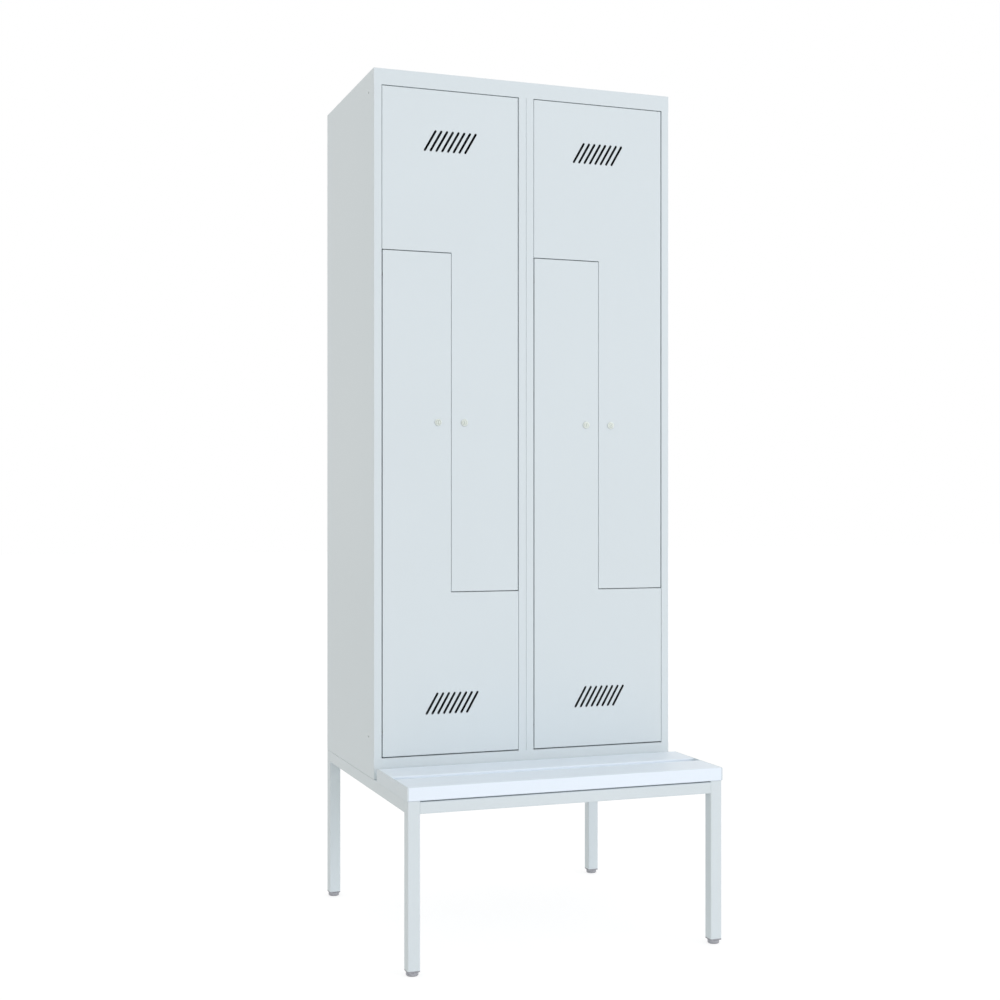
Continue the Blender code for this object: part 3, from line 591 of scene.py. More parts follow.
def wall(name, edge_x, side, outer):
    """One wall, with its outer face at edge_x and its folds towards the doorway on its inner side.

    An outer wall ends a little above the carcass's underside, so that a fine seam shows there.
    """
    inward = -side
    skin_back = CARCASS_REAR if outer else BACK_FRONT - FIT
    bottom = CARCASS_BOTTOM + (WALL_LIFT if outer else SHEET + FIT)
    top = CARCASS_TOP - (0 if outer else SHEET + FIT)
    folds = [
        (0, CARCASS_FRONT - skin_back, 0),
        (inward * POST_FACE, 0, 0),
        (0, STOP_BACK - CARCASS_FRONT, 0),
        (inward * LIP, 0, 0),
    ]
    start = [edge_x, skin_back, bottom]
    if outer:
        start[0] += inward * REAR_RETURN
        folds.insert(0, (-inward * REAR_RETURN, 0, 0))
    sheet = folded_sheet(name, start, (0, 0, top - bottom), folds)
    sill = CARCASS_BOTTOM + SILL_FACE + FIT
    header = CARCASS_TOP - HEADER_FACE - FIT
    slice_at(sheet, "Z", sill, header)
    slice_at(sheet, "Y", CARCASS_FRONT + SHEET + FIT)

    def in_the_way(middle, face):
        if sill < middle.z < header:
            return False
        past_skin = abs(middle.x - edge_x) > SHEET / 2 and middle.y < STOP_BACK + SHEET
        return past_skin or middle.y < CARCASS_FRONT + SHEET + FIT

    trim(sheet, in_the_way)
    round_folds(sheet)
    give_thickness(sheet, SHEET)
    return sheet


for column, side in (("left", -1), ("right", 1)):
    edge_x = side * HALF_WIDTH
    panel = wall(f"{column}_side_sheet", edge_x, side, outer=True)
    for z in (CARCASS_TOP - HOLE_BELOW_TOP, CARCASS_BOTTOM + HOLE_ABOVE_BOTTOM):
        hole_at = (edge_x - OVERRUN, CARCASS_FRONT + HOLES_BEHIND_FRONT, z)
        cut(panel, cylinder(HOLE_RADIUS, hole_at, 2 * OVERRUN, "X", 24))
    smooth(panel)
    fit(panel, f"{column}_side_panel", powder_coat)
    panel = wall(f"centre_{column}_sheet", side * FIT / 2, -side, outer=False)
    smooth(panel)
    fit(panel, f"centre_{column}_panel", powder_coat)

# Top and bottom of the carcass: one sheet each, 800 mm wide, folded down in front into the
# header, or up into the sill, and then back and on into the same lip that the posts have.
REAR_FLANGE = 0.015
PAST_CENTRE_WALL = SHEET + 1.5 * FIT
WELD_DEPTH = 0.8 * SHEET


def end_panel(name, level, inward, face):
    """The top or the bottom sheet: level is its outer face, and inward points into the locker."""
    depth = CARCASS_REAR - CARCASS_FRONT
    sheet = folded_sheet(
        name,
        (-HALF_WIDTH, CARCASS_REAR, level + inward * REAR_FLANGE),
        (2 * HALF_WIDTH, 0, 0),
        [
            (0, 0, -inward * REAR_FLANGE),
            (0, -depth, 0),
            (0, 0, inward * face),
            (0, STOP_BACK - CARCASS_FRONT, 0),
            (0, 0, inward * LIP),
        ],
    )
    at_skin = HALF_WIDTH - SHEET - FIT
    at_return = HALF_WIDTH - REAR_RETURN - FIT
    at_lip = POST_FACE + LIP + FIT
    slice_at(sheet, "X", -at_skin, -at_return, at_lip - HALF_WIDTH, -at_lip, -PAST_CENTRE_WALL)
    slice_at(sheet, "X", PAST_CENTRE_WALL, at_lip, HALF_WIDTH - at_lip, at_return, at_skin)
    slice_at(sheet, "Y", CARCASS_FRONT + SHEET + FIT, CARCASS_REAR - SHEET - FIT)
    fold_level = level + inward * face

    def in_the_way(middle, part):
        x = abs(middle.x)
        behind_face = middle.y > CARCASS_FRONT + SHEET + FIT
        if x > at_skin and behind_face:
            return True
        if x > at_return and middle.y > CARCASS_REAR - SHEET - FIT:
            return True
        past_fold = (middle.z - fold_level) * inward
        if past_fold > SHEET and (x > HALF_WIDTH - at_lip or x < at_lip):
            return True
        return x < PAST_CENTRE_WALL and behind_face and abs(past_fold) < NEAR

    trim(sheet, in_the_way)
    round_folds(sheet)
    give_thickness(sheet, SHEET)
    join_to(sheet, *ground_welds(fold_level, inward))
    smooth(sheet)
    return sheet


def ground_welds(fold_level, inward):
    """Weld that fills the fold's rounding over each post's end, ground flush with the front."""
    inner = HALF_WIDTH - POST_FACE
    low_z, high_z = sorted((fold_level - inward * FOLD_RADIUS, fold_level + inward * FIT))
    return [
        block((near, CARCASS_FRONT, low_z), (far, CARCASS_FRONT + WELD_DEPTH, high_z))
        for near, far in ((-HALF_WIDTH, -inner), (-POST_FACE, POST_FACE), (inner, HALF_WIDTH))
    ]


top = end_panel("top_sheet", CARCASS_TOP, -1, HEADER_FACE)
fit(top, "top_panel", powder_coat)
bottom = end_panel("bottom_sheet", CARCASS_BOTTOM, 1, SILL_FACE)
fit(bottom, "bottom_panel", powder_coat)

# Back: one flat sheet inside the walls' rear returns, spot welded all round. Its four edges
# are sheared, so they keep a fine rounded burr under the coating.
SHEARED_EDGE = 0.0003

low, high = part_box("back_panel")
back = settle(block(low, high), "back_sheet")
bevel_edges(back, SHEARED_EDGE, lambda middle, edge: True, 2)
smooth(back)
fit(back, "back_panel", powder_coat)

# Z dividers: in each column one sheet folded into a Z, shelf over the lower narrow part,
# upright, and shelf under the upper narrow part. A Z-shaped strip welded to its front edge is
# the stop for both doors, with a pressed dimple near each end.
DOORS_MIDDLE = CARCASS_BOTTOM + 0.881
STEP_FROM_MIDDLE = 0.4235
DOORWAY_WIDTH = HALF_WIDTH - 2 * POST_FACE
DIVIDER_FOLD = 0.0016
STOP_STRIP = 0.030
DIMPLE_BASE = 0.005
DIMPLE_TIP = 0.0035
DIMPLE_EDGE = 0.0009
DIMPLE_FROM_STEP = 0.100
DIMPLE_FRONT = CARCASS_FRONT + 0.0165


def z_divider(name, x):
    """One column's divider about its middle x, with its stop strip."""
    end = HALF_WIDTH / 2 - PAST_CENTRE_WALL
    lip = DOORWAY_WIDTH / 2 - LIP - FIT
    front = STOP_BACK + SHEET / 2
    depth = BACK_FRONT - FIT - front
    upper, lower = DOORS_MIDDLE + STEP_FROM_MIDDLE, DOORS_MIDDLE - STEP_FROM_MIDDLE
    sheet = folded_sheet(
        name,
        (x - end, front, upper),
        (0, depth, 0),
        [(end, 0, 0), (0, 0, lower - upper), (end, 0, 0)],
    )
    behind_lip = STOP_BACK + SHEET + FIT
    slice_at(sheet, "Y", behind_lip)
    slice_at(sheet, "X", x - lip, x + lip)
    trim(sheet, lambda middle, face: abs(middle.x - x) > lip and middle.y < behind_lip)
    round_folds(sheet, DIVIDER_FOLD)
    give_thickness(sheet, SHEET, offset=0.0)
    half = STOP_STRIP / 2
    strip = folded_sheet(
        f"{name}_strip",
        (x - half, STOP_BACK, lower - half),
        (0, 0, upper - lower + 2 * half),
        [(2 * half, 0, 0)],
    )
    slice_at(strip, "Z", lower + half, upper - half)
    for way, level in ((1, lower), (-1, upper)):
        edit(strip)
        end_at = Vector((x + way * half, STOP_BACK, level))
        pick(strip, "EDGE", lambda middle, edge: (middle - end_at).length < NEAR)
        pull(way * (lip - half), 0, 0)
        done()
    finish_with(strip, "SOLIDIFY", thickness=SHEET, offset=strip_side(strip))
    dimples = []
    for z in (upper - DIMPLE_FROM_STEP, lower + DIMPLE_FROM_STEP):
        depth = STOP_BACK + SHEET / 2 - DIMPLE_FRONT
        dimple = cylinder(DIMPLE_TIP, (x, DIMPLE_FRONT, z), depth, "Y", 32, DIMPLE_BASE)
        bevel_edges(dimple, DIMPLE_EDGE, lambda middle, edge: abs(middle.y - DIMPLE_FRONT) < NEAR)
        dimples.append(dimple)
    return join_to(sheet, strip, *dimples)


def strip_side(strip):
    """Thickness goes to the rear: against the normals if they look forward, along them if not."""
    return -1.0 if strip.data.polygons[0].normal.y < 0 else 1.0


for column, x in COLUMN_X.items():
    divider = z_divider(f"{column}_divider_sheet", x)
    smooth(divider)
    fit(divider, f"{column}_z_divider", powder_coat)

# Hinge brackets: zinc-plated steel, a small plate riveted to the post's lip with an arm that
# carries the pin. The doors' tabs turn on the pin, above and below the arm.
PIN_RADIUS = 0.0025
PIN_END = 0.0005
PIN_BEHIND_FRONT = 0.005
PIN_PAST_TAB = 0.001
TAB_THICKNESS = 0.002
LUG_RADIUS = 0.0036
LUG_THICKNESS = 0.002
ARM_HALF = 0.0025
ARM_END = 0.0004
PLATE_THICKNESS = 0.0012
PLATE_CORNER = 0.002
PIVOT_X = 0.17149
RIVET_RADIUS = 0.0022
RIVET_HEAD = 0.0006
RIVET_EDGE = 0.0005
RIVET_SINK = 0.0003
RIVET_FROM_END = 0.0045


def rivet(radius, head, rounding, sides, x, y, z):
    """A rivet's flat head on a plate that faces forward at this place, with its front edge rounded."""
    piece = cylinder(radius, (x, y - head, z), head + RIVET_SINK, "Y", sides)
    bevel_edges(piece, rounding, lambda middle, edge: abs(middle.y - y + head) < NEAR)
    return piece


low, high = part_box("left_lower_door_bottom_hinge")
pin_at = Vector((COLUMN_X["left"] - PIVOT_X, CARCASS_FRONT + PIN_BEHIND_FRONT, (low.z + high.z) / 2))
plate_low = Vector((low.x, high.y - PLATE_THICKNESS, low.z))
plate_high = Vector((low.x + LIP - FIT, high.y, high.z))
bracket = settle(block(plate_low, plate_high), "left_lower_bottom_bracket")
bevel_edges(bracket, PLATE_CORNER, lambda middle, edge: along(edge, "Y"), 4)
bevel_edges(bracket, SHEARED_EDGE, lambda middle, edge: abs(middle.y - plate_low.y) < NEAR, 2)
half_lug = LUG_THICKNESS / 2
arm = block(
    (pin_at.x - ARM_HALF, pin_at.y, pin_at.z - half_lug),
    (pin_at.x + ARM_HALF, plate_high.y - ARM_END, pin_at.z + half_lug),
)
bevel_edges(arm, SHEARED_EDGE, lambda middle, edge: along(edge, "Y"), 2)
lug = cylinder(LUG_RADIUS, (pin_at.x, pin_at.y, pin_at.z - half_lug), LUG_THICKNESS, "Z", 24)
pin_half = half_lug + FIT + TAB_THICKNESS + PIN_PAST_TAB
pin = cylinder(PIN_RADIUS, (pin_at.x, pin_at.y, pin_at.z - pin_half), 2 * pin_half, "Z", 24)
bevel_edges(pin, PIN_END, lambda middle, edge: abs(abs(middle.z - pin_at.z) - pin_half) < NEAR, 2)
rivets = [
    rivet(RIVET_RADIUS, RIVET_HEAD, RIVET_EDGE, 20, (plate_low.x + plate_high.x) / 2, plate_low.y, z)
    for z in (plate_low.z + RIVET_FROM_END, plate_high.z - RIVET_FROM_END)
]
join_to(bracket, arm, lug, pin, *rivets)
smooth(bracket)

DOORS = [
    (column, x, level, side)
    for column, x in COLUMN_X.items()
    for level, side in (("lower", -1), ("upper", 1))
]
TURNED = {"lower": Matrix.Identity(4), "upper": Matrix.Rotation(math.pi, 4, "Y")}
for column, x, level, side in DOORS:
    for end in ("bottom", "top"):
        node = f"{column}_{level}_door_{end}_hinge"
        name = f"{column}_{level}_{end}_bracket"
        piece = bracket
        if name != bracket.name:
            box_low, box_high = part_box(node)
            place = (x + side * PIVOT_X, pin_at.y, (box_low.z + box_high.z) / 2)
            piece = copy_of(bracket, name, place, TURNED[level] @ Matrix.Translation(-pin_at))
        fit(piece, node, zinc_plate)

# Doors: L-shaped pans of 1 mm steel with all six edges folded back 15 mm, powder-coated. The
# slanting vent slots and the lock hole are punched, and two pairs of tabs hold the hinge pins.
# The upper door is the lower one turned half round.
DOOR_DEPTH = 0.015
DOOR_HALF_HEIGHT = 0.827
HINGE_EDGE = -0.17749
LATCH_EDGE = 0.179
FREE_EDGE = -0.0005
STEP_EDGE = -0.4245
NARROW_TOP = 0.4225
VENT_SLOTS = 8
VENT_PITCH = 0.0151
VENT_RUN = 0.0274
VENT_RISE = 0.0478
VENT_RADIUS = 0.003
VENT_ABOVE_BOTTOM = 0.1264
VENT_FROM_MIDDLE = 0.0024
LOCK_FROM_MIDDLE = 0.0345
LOCK_HOLE = 0.0078
HINGE_HEIGHTS = (-0.767, 0.3625)
TAB_GAP = 0.0013
TAB_BACK = 0.012
TAB_REACH = 0.0065
TAB_CORNER = 0.0015
NOTCH_HALF = 0.0040
PIN_HOLE = 0.0029


def slot_cutter(x, z):
    """A punch with round ends: a round bar, half of whose side is drawn out along the slot."""
    punch = cylinder(VENT_RADIUS, (0, -OVERRUN, 0), 2 * OVERRUN, "Y", 24)
    edit(punch)
    pick(punch, "VERT", lambda middle, vert: middle.z > NEAR)
    bpy.ops.transform.translate(value=(0, 0, math.hypot(VENT_RUN, VENT_RISE)))
    done()
    punch.rotation_euler = (0, math.atan2(VENT_RUN, VENT_RISE), 0)
    punch.location = (x - VENT_RUN / 2, 0, z - VENT_RISE / 2)
    return settle(punch)


pan = folded_sheet(
    "left_lower_door_pan",
    (HINGE_EDGE, 0, -DOOR_HALF_HEIGHT),
    (LATCH_EDGE - HINGE_EDGE, 0, 0),
    [(0, 0, STEP_EDGE + DOOR_HALF_HEIGHT)],
)
slice_at(pan, "X", FREE_EDGE)
edit(pan)
pick(pan, "EDGE", lambda middle, edge: middle.x < FREE_EDGE - NEAR and abs(middle.z - STEP_EDGE) < NEAR)
pull(0, 0, NARROW_TOP - STEP_EDGE)
pick(pan, "EDGE", lambda middle, edge: len(edge.link_faces) == 1)
pull(0, DOOR_DEPTH, 0)
done()
round_folds(pan)
give_thickness(pan, SHEET)
vent_z = VENT_ABOVE_BOTTOM - DOOR_HALF_HEIGHT
punches = [
    slot_cutter(VENT_FROM_MIDDLE + (index - (VENT_SLOTS - 1) / 2) * VENT_PITCH, vent_z)
    for index in range(VENT_SLOTS)
]
cut(pan, *punches, cylinder(LOCK_HOLE, (-LOCK_FROM_MIDDLE, -OVERRUN, 0), 2 * OVERRUN, "Y", 40))
tabs = []
for height in HINGE_HEIGHTS:
    notch_low = (HINGE_EDGE - OVERRUN, SHEET + FIT, height - NOTCH_HALF)
    cut(pan, block(notch_low, (HINGE_EDGE + SHEET + FIT, DOOR_DEPTH + OVERRUN, height + NOTCH_HALF)))
    for side in (-1, 1):
        near, far = sorted((height + side * TAB_GAP, height + side * (TAB_GAP + TAB_THICKNESS)))
        tab = block((HINGE_EDGE + SHEET, SHEET / 2, near), (TAB_REACH - PIVOT_X, TAB_BACK, far))
        bevel_edges(tab, TAB_CORNER, lambda middle, edge: along(edge, "Z") and middle.y > TAB_BACK - NEAR, 4)
        hole_at = (-PIVOT_X, PIN_BEHIND_FRONT, near - TAB_THICKNESS)
        cut(tab, cylinder(PIN_HOLE, hole_at, 3 * TAB_THICKNESS, "Z", 24))
        tabs.append(tab)
join_to(pan, *tabs)
smooth(pan)

for column, x, level, side in DOORS:
    place = (x, CARCASS_FRONT, DOORS_MIDDLE)
    piece = copy_of(pan, f"{column}_{level}_door_sheet", place, TURNED[level])
    fit(piece, f"{column}_{level}_door", powder_coat)
bpy.data.objects.remove(pan)

# Locks: die-cast and nickel-plated cam locks. The housing goes through the door, with a
# rounded head in front and a hexagon nut behind. The plug turns in it, and carries the cam.
HEAD_RADIUS = 0.009
HEAD_THICKNESS = 0.0015
HEAD_RIM = 0.0021
HEAD_RECESS = 0.0005
RECESS_LEDGE = 0.0004
BARREL_RADIUS = 0.0075
HOUSING_EDGE = 0.0006
PLUG_RADIUS = 0.0052
PLUG_EDGE = 0.0004
NUT_RADIUS = 0.011
NUT_THICKNESS = 0.004
NUT_EDGE = 0.0005
NUT_OVERLAP = 0.0005
BORE_LENGTH = 0.04
CAM_FRONT = 0.02126
CAM_THICKNESS = 0.002
CAM_HALF_WIDTH = 0.006
CAM_TIP_FROM_MIDDLE = 0.004
DRIVE_HALF = 0.003
DRIVE_PAST = 0.001
KEYWAY = (0.0015, 0.0068, 0.004)
WARD_SHARES = (1 / 6, 1 / 12)
SCREW_RADIUS = 0.0045
SCREW_HEAD = 0.002
SCREW_EDGE = 0.0007
CROSS_HALF = 0.0025
CROSS_HALF_WIDTH = 0.0004
CROSS_FLOOR = 0.0245

head_front = -FIT - HEAD_THICKNESS
housing = cylinder(HEAD_RADIUS, (0, head_front, 0), HEAD_THICKNESS, "Y", 48)
settle(housing, "lock_barrel")
bevel_edges(housing, HOUSING_EDGE, lambda middle, edge: abs(middle.y - head_front) < NEAR)
edit(housing)
pick(housing, "FACE", lambda middle, face: len(face.verts) > 20 and middle.y < head_front + NEAR)
bpy.ops.mesh.inset(thickness=HEAD_RIM)
pull(0, HEAD_RECESS, 0)
bpy.ops.mesh.inset(thickness=RECESS_LEDGE)
pick(housing, "FACE", lambda middle, face: len(face.verts) > 20 and middle.y > -FIT - NEAR)
bpy.ops.mesh.inset(thickness=HEAD_RADIUS - BARREL_RADIUS)
pull(0, CAM_FRONT, 0)
bpy.ops.mesh.inset(thickness=HOUSING_EDGE)
done()
nut = cylinder(NUT_RADIUS, (0, SHEET + FIT, 0), NUT_THICKNESS, "Y", 6)
bevel_edges(nut, NUT_EDGE, lambda middle, edge: True, 2)
bore_at = (0, -2 * OVERRUN, 0)
cut(nut, cylinder(BARREL_RADIUS - NUT_OVERLAP, bore_at, BORE_LENGTH, "Y", 32))
cut(housing, cylinder(PLUG_RADIUS + FIT, bore_at, BORE_LENGTH, "Y", 48))
join_to(housing, nut)
smooth(housing)

plug_back = CAM_FRONT - FIT
plug = settle(cylinder(PLUG_RADIUS, (0, head_front, 0), plug_back - head_front, "Y", 48), "lock_plug_core")
bevel_edges(plug, PLUG_EDGE, lambda middle, edge: abs(middle.y - head_front) < NEAR)
width, height, depth = KEYWAY
cut_from, cut_to = head_front - OVERRUN, head_front + depth
slit = block((-width / 2, cut_from, -height / 2), (width / 2, cut_to, height / 2))
ward = block((-width, cut_from, -height * WARD_SHARES[0]), (0, cut_to, height * WARD_SHARES[1]))
cut(plug, slit, ward)
cam_back = CAM_FRONT + CAM_THICKNESS
drive = block(
    (-DRIVE_HALF, plug_back - DRIVE_PAST, -DRIVE_HALF),
    (DRIVE_HALF, cam_back + DRIVE_PAST, DRIVE_HALF),
)
bevel_edges(drive, PLUG_EDGE, lambda middle, edge: along(edge, "Y"), 2)
screw_end = cam_back + FIT + SCREW_HEAD
screw = cylinder(SCREW_RADIUS, (0, cam_back + FIT, 0), SCREW_HEAD, "Y", 32)
bevel_edges(screw, SCREW_EDGE, lambda middle, edge: middle.y > screw_end - NEAR)
for x, z in ((CROSS_HALF, CROSS_HALF_WIDTH), (CROSS_HALF_WIDTH, CROSS_HALF)):
    cut(screw, block((-x, CROSS_FLOOR, -z), (x, screw_end + OVERRUN, z)))
join_to(plug, drive, screw)
smooth(plug)

cam = block(
    (-CAM_HALF_WIDTH, CAM_FRONT, CAM_TIP_FROM_MIDDLE - LOCK_FROM_MIDDLE),
    (CAM_HALF_WIDTH, cam_back, CAM_HALF_WIDTH),
)
settle(cam, "lock_cam_bar")
bevel_edges(cam, CAM_HALF_WIDTH - NEAR, lambda middle, edge: along(edge, "Y"), 10)
bevel_edges(cam, SHEARED_EDGE, lambda middle, edge: not along(edge, "Y"), 2)
hole = DRIVE_HALF + FIT
cut(cam, block((-hole, CAM_FRONT - OVERRUN, -hole), (hole, CAM_FRONT + 2 * OVERRUN, hole)))
smooth(cam)

satin_nickel = grained_material(
    "nickel_plated_zinc",
    linear(218, 225, 220),
    grain=1800.0,
    bump=0.06,
    roughness=0.26,
    tone=0.05,
    metallic=1.0,
    cloud=90.0,
    change=0.12,
)

for column, x, level, side in DOORS:
    name = f"{column}_{level}"
    move = (x + side * LOCK_FROM_MIDDLE, CARCASS_FRONT, DOORS_MIDDLE)
    piece = copy_of(housing, f"{name}_lock_barrel", move)
    fit(piece, f"{name}_lock_housing", satin_nickel)
    piece = copy_of(plug, f"{name}_lock_core", move)
    fit(piece, f"{name}_lock_plug", satin_nickel)
    piece = copy_of(cam, f"{name}_lock_bar", move)
    fit(piece, f"{name}_lock_cam", zinc_plate)
for spare in (housing, plug, cam):
    bpy.data.objects.remove(spare)

# Coat hooks: 5 mm wire bent into a J and welded to a small plate on the back, all zinc-plated.
# The wire's end is rounded off, and two rivets hold the plate.
WIRE_RADIUS = 0.0025
WIRE_SINK = 0.0008
HOOK_STRAIGHT = 0.020
HOOK_BEND = 0.012
HOOK_TIP = 0.008
TIP_SHARES = ((0.06, 0.4), (0.25, 0.3), (0.35, 0.2), (0.3, 0.1))
HOOK_PLATE = (0.020, 0.0015, 0.050)
HOOK_PLATE_CORNER = 0.003
HOOK_PLATE_EDGE = 0.0004
HOOK_RIVET_RADIUS = 0.003
HOOK_RIVET_HEAD = 0.0009
HOOK_RIVET_EDGE = 0.0007
HOOK_RIVET_UP = 0.018

plate_front = -FIT - HOOK_PLATE[1]
plate_low = (-HOOK_PLATE[0] / 2, plate_front, -HOOK_PLATE[2] / 2)
hook = settle(block(plate_low, (HOOK_PLATE[0] / 2, -FIT, HOOK_PLATE[2] / 2)), "hook")
bevel_edges(hook, HOOK_PLATE_CORNER, lambda middle, edge: along(edge, "Y"), 4)
bevel_edges(hook, HOOK_PLATE_EDGE, lambda middle, edge: abs(middle.y - plate_front) < NEAR, 2)
bend_y = plate_front - HOOK_STRAIGHT
wire_length = HOOK_STRAIGHT + HOOK_PLATE[1] - WIRE_SINK
wire = cylinder(WIRE_RADIUS, (0, -FIT - WIRE_SINK, 0), -wire_length, "Y", 24)
edit(wire)
pick(wire, "FACE", lambda middle, face: len(face.verts) > 12 and middle.y < bend_y + NEAR)
bpy.ops.mesh.spin(steps=12, angle=math.pi / 2, center=(0, bend_y, HOOK_BEND), axis=(-1, 0, 0))
pull(0, 0, HOOK_TIP - WIRE_RADIUS)
for share_in, share_up in TIP_SHARES:
    pull(0, 0, WIRE_RADIUS * share_up)
    bpy.ops.transform.resize(value=(1 - share_in, 1 - share_in, 1))
done()
rivets = [
    rivet(HOOK_RIVET_RADIUS, HOOK_RIVET_HEAD, HOOK_RIVET_EDGE, 24, 0, plate_front, z)
    for z in (-HOOK_RIVET_UP, HOOK_RIVET_UP)
]
join_to(hook, wire, *rivets)
edit(hook)
pick_all()
bpy.ops.mesh.normals_make_consistent(inside=False)
done()
smooth(hook)

for column, x, level, side in DOORS:
    node = f"{column}_{level}_coat_hook"
    low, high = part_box(node)
    place = ((low.x + high.x) / 2, BACK_FRONT, low.z + HOOK_PLATE[2] / 2)
    piece = copy_of(hook, f"{column}_{level}_hook_wire", place)
    fit(piece, node, zinc_plate)
bpy.data.objects.remove(hook)

# Bench planks: extruded hollow planks of white rigid plastic with rounded edges and two ribs
# inside. Fine lines from the die run along them. They are screwed to the stand from below.
PLANK_EDGE = 0.003
PLANK_WALL = 0.003
PLANK_RIB = 0.0025
DIE_LINES = (1.2, 420.0, 420.0)

low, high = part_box("front_plank")
plank = hollow_section("front_plank_profile", low, high, "X", PLANK_EDGE, 6)
give_thickness(plank, PLANK_WALL)
ribs = []
chamber = (high.y - low.y - 2 * PLANK_WALL - 2 * PLANK_RIB) / 3
for number in (1, 2):
    y = low.y + PLANK_WALL + number * chamber + (number - 1) * PLANK_RIB
    ribs.append(block((low.x, y, low.z + PLANK_WALL / 2), (high.x, y + PLANK_RIB, high.z - PLANK_WALL / 2)))
join_to(plank, *ribs)
smooth(plank)


def extruded_plastic(name, colour):
    """White plastic with fine lines along X from the die."""
    material = grained_material(name, colour, grain=500.0, bump=0.10, roughness=0.38, tone=0.02, cloud=5.0)
    tree = material.node_tree
    place = add_node(tree, "ShaderNodeTexCoord", {}).outputs["Object"]
    drawn = add_node(tree, "ShaderNodeMapping", {"Vector": place, "Scale": DIE_LINES}).outputs["Vector"]
    lines = add_node(tree, "ShaderNodeTexNoise", {"Vector": drawn, "Scale": 1.0, "Detail": 3.0})
    raised = next(node for node in tree.nodes if node.type == "BUMP")
    grain = next(node for node in tree.nodes if node.type == "GROUP")
    feed(tree, raised, {"Height": worked_out(tree, "ADD", lines.outputs["Fac"], grain.outputs["Height"])})
    return material


plank_plastic = extruded_plastic("white_plank_plastic", linear(233, 243, 252))
fit(plank, "front_plank", plank_plastic)
rear = copy_of(plank, "rear_plank_profile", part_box("rear_plank")[0] - low)
fit(rear, "rear_plank", plank_plastic)

# Bench ends: one pale grey moulded strip across both planks at each end, gap and all. Tongues
# behind it are pushed into the planks' chambers, and its outer edges are slightly rounded.
END_THICKNESS = 0.0035
END_EDGE = 0.0012
TONGUE = 0.012
TONGUE_EDGE = 0.001

low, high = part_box("right_bench_end_cap")
strip = settle(block((high.x - END_THICKNESS, low.y, low.z), high), "right_bench_end")
bevel_edges(strip, PLANK_EDGE, lambda middle, edge: along(edge, "X"), 6)
bevel_edges(strip, END_EDGE, lambda middle, edge: abs(middle.x - high.x) < NEAR)
tongues = []
for plank_node in ("front_plank", "rear_plank"):
    for number in range(3):
        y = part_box(plank_node)[0].y + PLANK_WALL + number * (chamber + PLANK_RIB) + FIT
        tongue = block(
            (high.x - END_THICKNESS - FIT - TONGUE, y, low.z + PLANK_WALL + FIT),
            (high.x - END_THICKNESS / 2, y + chamber - 2 * FIT, high.z - PLANK_WALL - FIT),
        )
        bevel_edges(tongue, TONGUE_EDGE, lambda middle, edge: middle.x < high.x - TONGUE, 2)
        tongues.append(tongue)
join_to(strip, *tongues)
smooth(strip)

end_plastic = grained_material(
    "pale_grey_cap_plastic", linear(216, 225, 229), grain=800.0, bump=0.25, roughness=0.5
)

half_round = Matrix.Translation((0, low.y + high.y, 0)) @ Matrix.Rotation(math.pi, 4, "Z")
opposite = copy_of(strip, "left_bench_end", turn=half_round)
fit(strip, "right_bench_end_cap", end_plastic)
fit(opposite, "left_bench_end_cap", end_plastic)

# Studio: a white floor and background, an even pale sky, and one wide soft lamp at the front
# right. The floor also glows for diffuse rays, which makes it a painted fill light from below. A dark
# screen far to the left and a white one to the right are painted reflections: they show only
# in reflections and light nothing.
SKY = 0.80
SKY_COLOUR = (1.0, 0.99, 0.97)
# Painted reflections: what glossy rays see of the sky, brighter than the light it gives, with a dark screen
# to the left and a white one to the right that light nothing.
REFLECTION_GAIN = 1.45
LEFTWARDS = (-0.966, 0.259, 0.0)
PAINTED_WHITE_REFLECTION, SKY_IN_REFLECTIONS, PAINTED_DARK_REFLECTION = 1.0, 0.72, 0.05
PAINTED_REFLECTION_STOPS = ((0.16, PAINTED_WHITE_REFLECTION), (0.23, SKY_IN_REFLECTIONS), (0.82, SKY_IN_REFLECTIONS), (0.95, PAINTED_DARK_REFLECTION))
FLOOR_SIZE = 60
FLOOR_DROP = 0.0002
FLOOR_SHADE = 0.60
FLOOR_SHADE_SEEN = 0.35
FLOOR_GLOW_SEEN = 0.75
FLOOR_GLOW_MIRRORED = 0.25
# The floor's glow for diffuse rays is a painted fill light from below, lifting the shade under the locker
# and the stand.
FLOOR_GLOW_AS_FILL_LIGHT = 0.40
LAMP_AT = (4.9, -6.0, 2.0)
LAMP_TILT = 84
LAMP_TURN = 39.7
LAMP_WIDTH = 36
LAMP_STRENGTH = 1.30
LAMP_COLOUR = (0.86, 0.88, 1.0)
CAMERA_AT = (-1.3718, -3.7248, 1.0757)
CAMERA_TURN = -19.735
CAMERA_SENSOR = 36.0
CAMERA_LENS = 54.847
CAMERA_SHIFT = 0.00463
CAMERA_SEES_TO = 200.0

bpy.ops.mesh.primitive_plane_add(size=FLOOR_SIZE, location=(0, 0, -FLOOR_DROP))
floor = bpy.context.object
floor.name = "floor"
paper = bpy.data.materials.new("white_floor")
paper.use_nodes = True
tree = paper.node_tree
seen = add_node(tree, "ShaderNodeLightPath", {}).outputs
shades = {"Value": seen["Is Camera Ray"], "To Min": FLOOR_SHADE, "To Max": FLOOR_SHADE_SEEN}
glow = worked_out(tree, "MULTIPLY", seen["Is Glossy Ray"], FLOOR_GLOW_MIRRORED)
glow = worked_out(tree, "MULTIPLY_ADD", seen["Is Camera Ray"], FLOOR_GLOW_SEEN, glow)
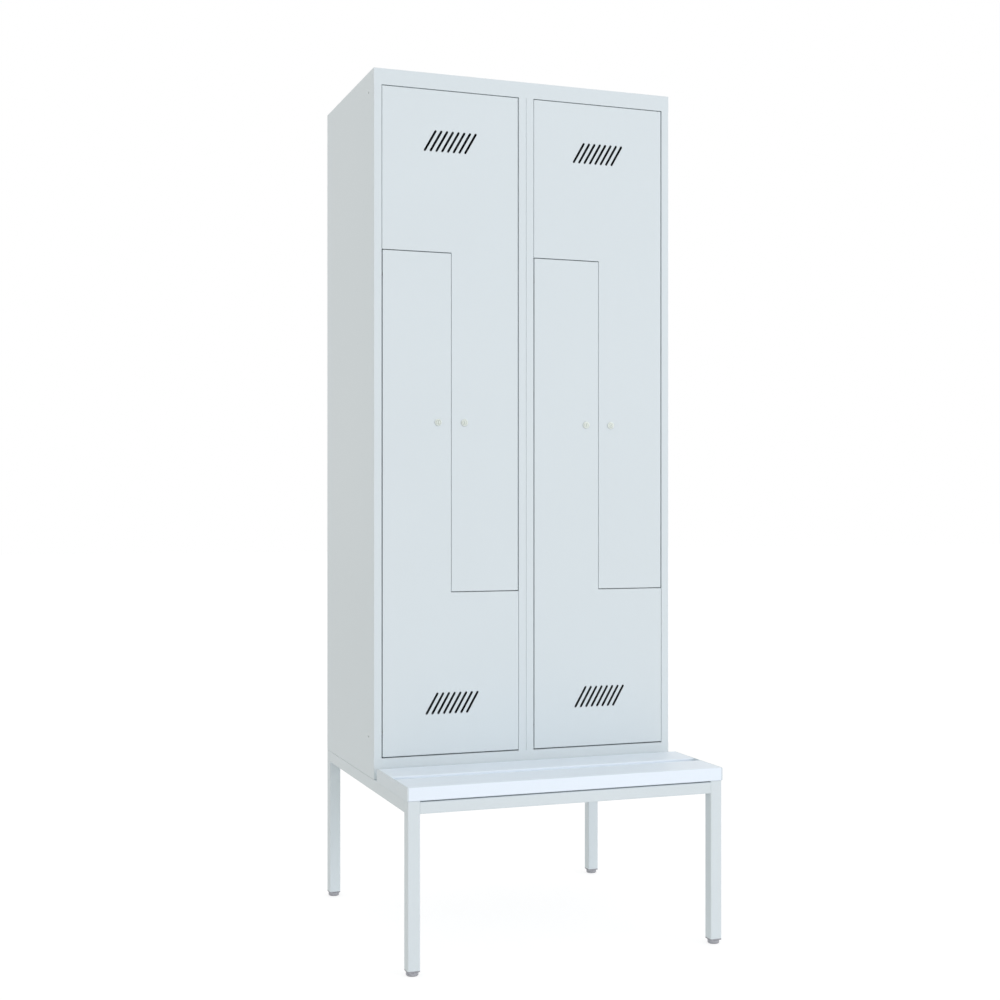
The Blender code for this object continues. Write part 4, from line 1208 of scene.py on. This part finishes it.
# Diffuse rays see the floor glow too: a painted fill light from below that lifts the shade under the locker
# and the stand.
glow = worked_out(tree, "MULTIPLY_ADD", seen["Is Diffuse Ray"], FLOOR_GLOW_AS_FILL_LIGHT, glow)
looks = {
    "Base Color": add_node(tree, "ShaderNodeMapRange", shades).outputs["Result"],
    "Roughness": 1.0,
    "Specular IOR Level": 0.0,
    "Emission Color": (1, 1, 1, 1),
    "Emission Strength": glow,
}
feed(tree, tree.nodes["Principled BSDF"], looks)
floor.data.materials.append(paper)

sky = bpy.data.worlds.new("pale_sky")
bpy.context.scene.world = sky
sky.use_nodes = True
tree = sky.node_tree
seen = add_node(tree, "ShaderNodeLightPath", {}).outputs
way = add_node(tree, "ShaderNodeTexCoord", {}).outputs["Generated"]
# For glossy rays only, the sky is replaced by painted reflections: a dark screen to the left, a white one to
# the right and a brighter open sky between.
leftness = add_node(tree, "ShaderNodeVectorMath", {0: way, 1: LEFTWARDS}, operation="DOT_PRODUCT")
along_ramp = worked_out(tree, "MULTIPLY_ADD", leftness.outputs["Value"], 0.5, 0.5)
painted_reflections = add_node(tree, "ShaderNodeValToRGB", {"Fac": along_ramp})
ramp = painted_reflections.color_ramp
ramp.interpolation = "EASE"
for place, shade in PAINTED_REFLECTION_STOPS:
    ramp.elements.new(place).color = (shade, shade, shade, 1)
ramp.elements.remove(ramp.elements[0])
ramp.elements.remove(ramp.elements[-1])
mirrored = worked_out(tree, "MULTIPLY_ADD", painted_reflections.outputs["Color"], REFLECTION_GAIN, -SKY)
looked_at = worked_out(tree, "MAXIMUM", seen["Is Camera Ray"], seen["Is Transmission Ray"])
level = worked_out(tree, "MULTIPLY_ADD", looked_at, 1 - SKY, SKY)
strength = worked_out(tree, "MULTIPLY_ADD", mirrored, seen["Is Glossy Ray"], level)
looked_at = worked_out(tree, "MAXIMUM", looked_at, seen["Is Glossy Ray"])
tints = {"Factor": looked_at, "A": (*SKY_COLOUR, 1), "B": (1, 1, 1, 1)}
tint = add_node(tree, "ShaderNodeMix", tints, data_type="RGBA")
feed(tree, tree.nodes["Background"], {"Strength": strength, "Color": tint.outputs["Result"]})

turn = (math.radians(LAMP_TILT), 0, math.radians(LAMP_TURN))
bpy.ops.object.light_add(type="SUN", location=LAMP_AT, rotation=turn)
lamp = bpy.context.object
lamp.name = "front_lamp"
lamp.data.angle = math.radians(LAMP_WIDTH)
lamp.data.energy = LAMP_STRENGTH
lamp.data.color = LAMP_COLOUR
lamp.visible_glossy = False

bpy.ops.object.camera_add(location=CAMERA_AT, rotation=(math.pi / 2, 0, math.radians(CAMERA_TURN)))
camera = bpy.context.object
camera.name = "camera"
camera.data.sensor_width = CAMERA_SENSOR
camera.data.lens = CAMERA_LENS
camera.data.shift_y = CAMERA_SHIFT
camera.data.clip_end = CAMERA_SEES_TO
bpy.context.scene.camera = camera
bpy.context.scene.view_settings.view_transform = "Standard"
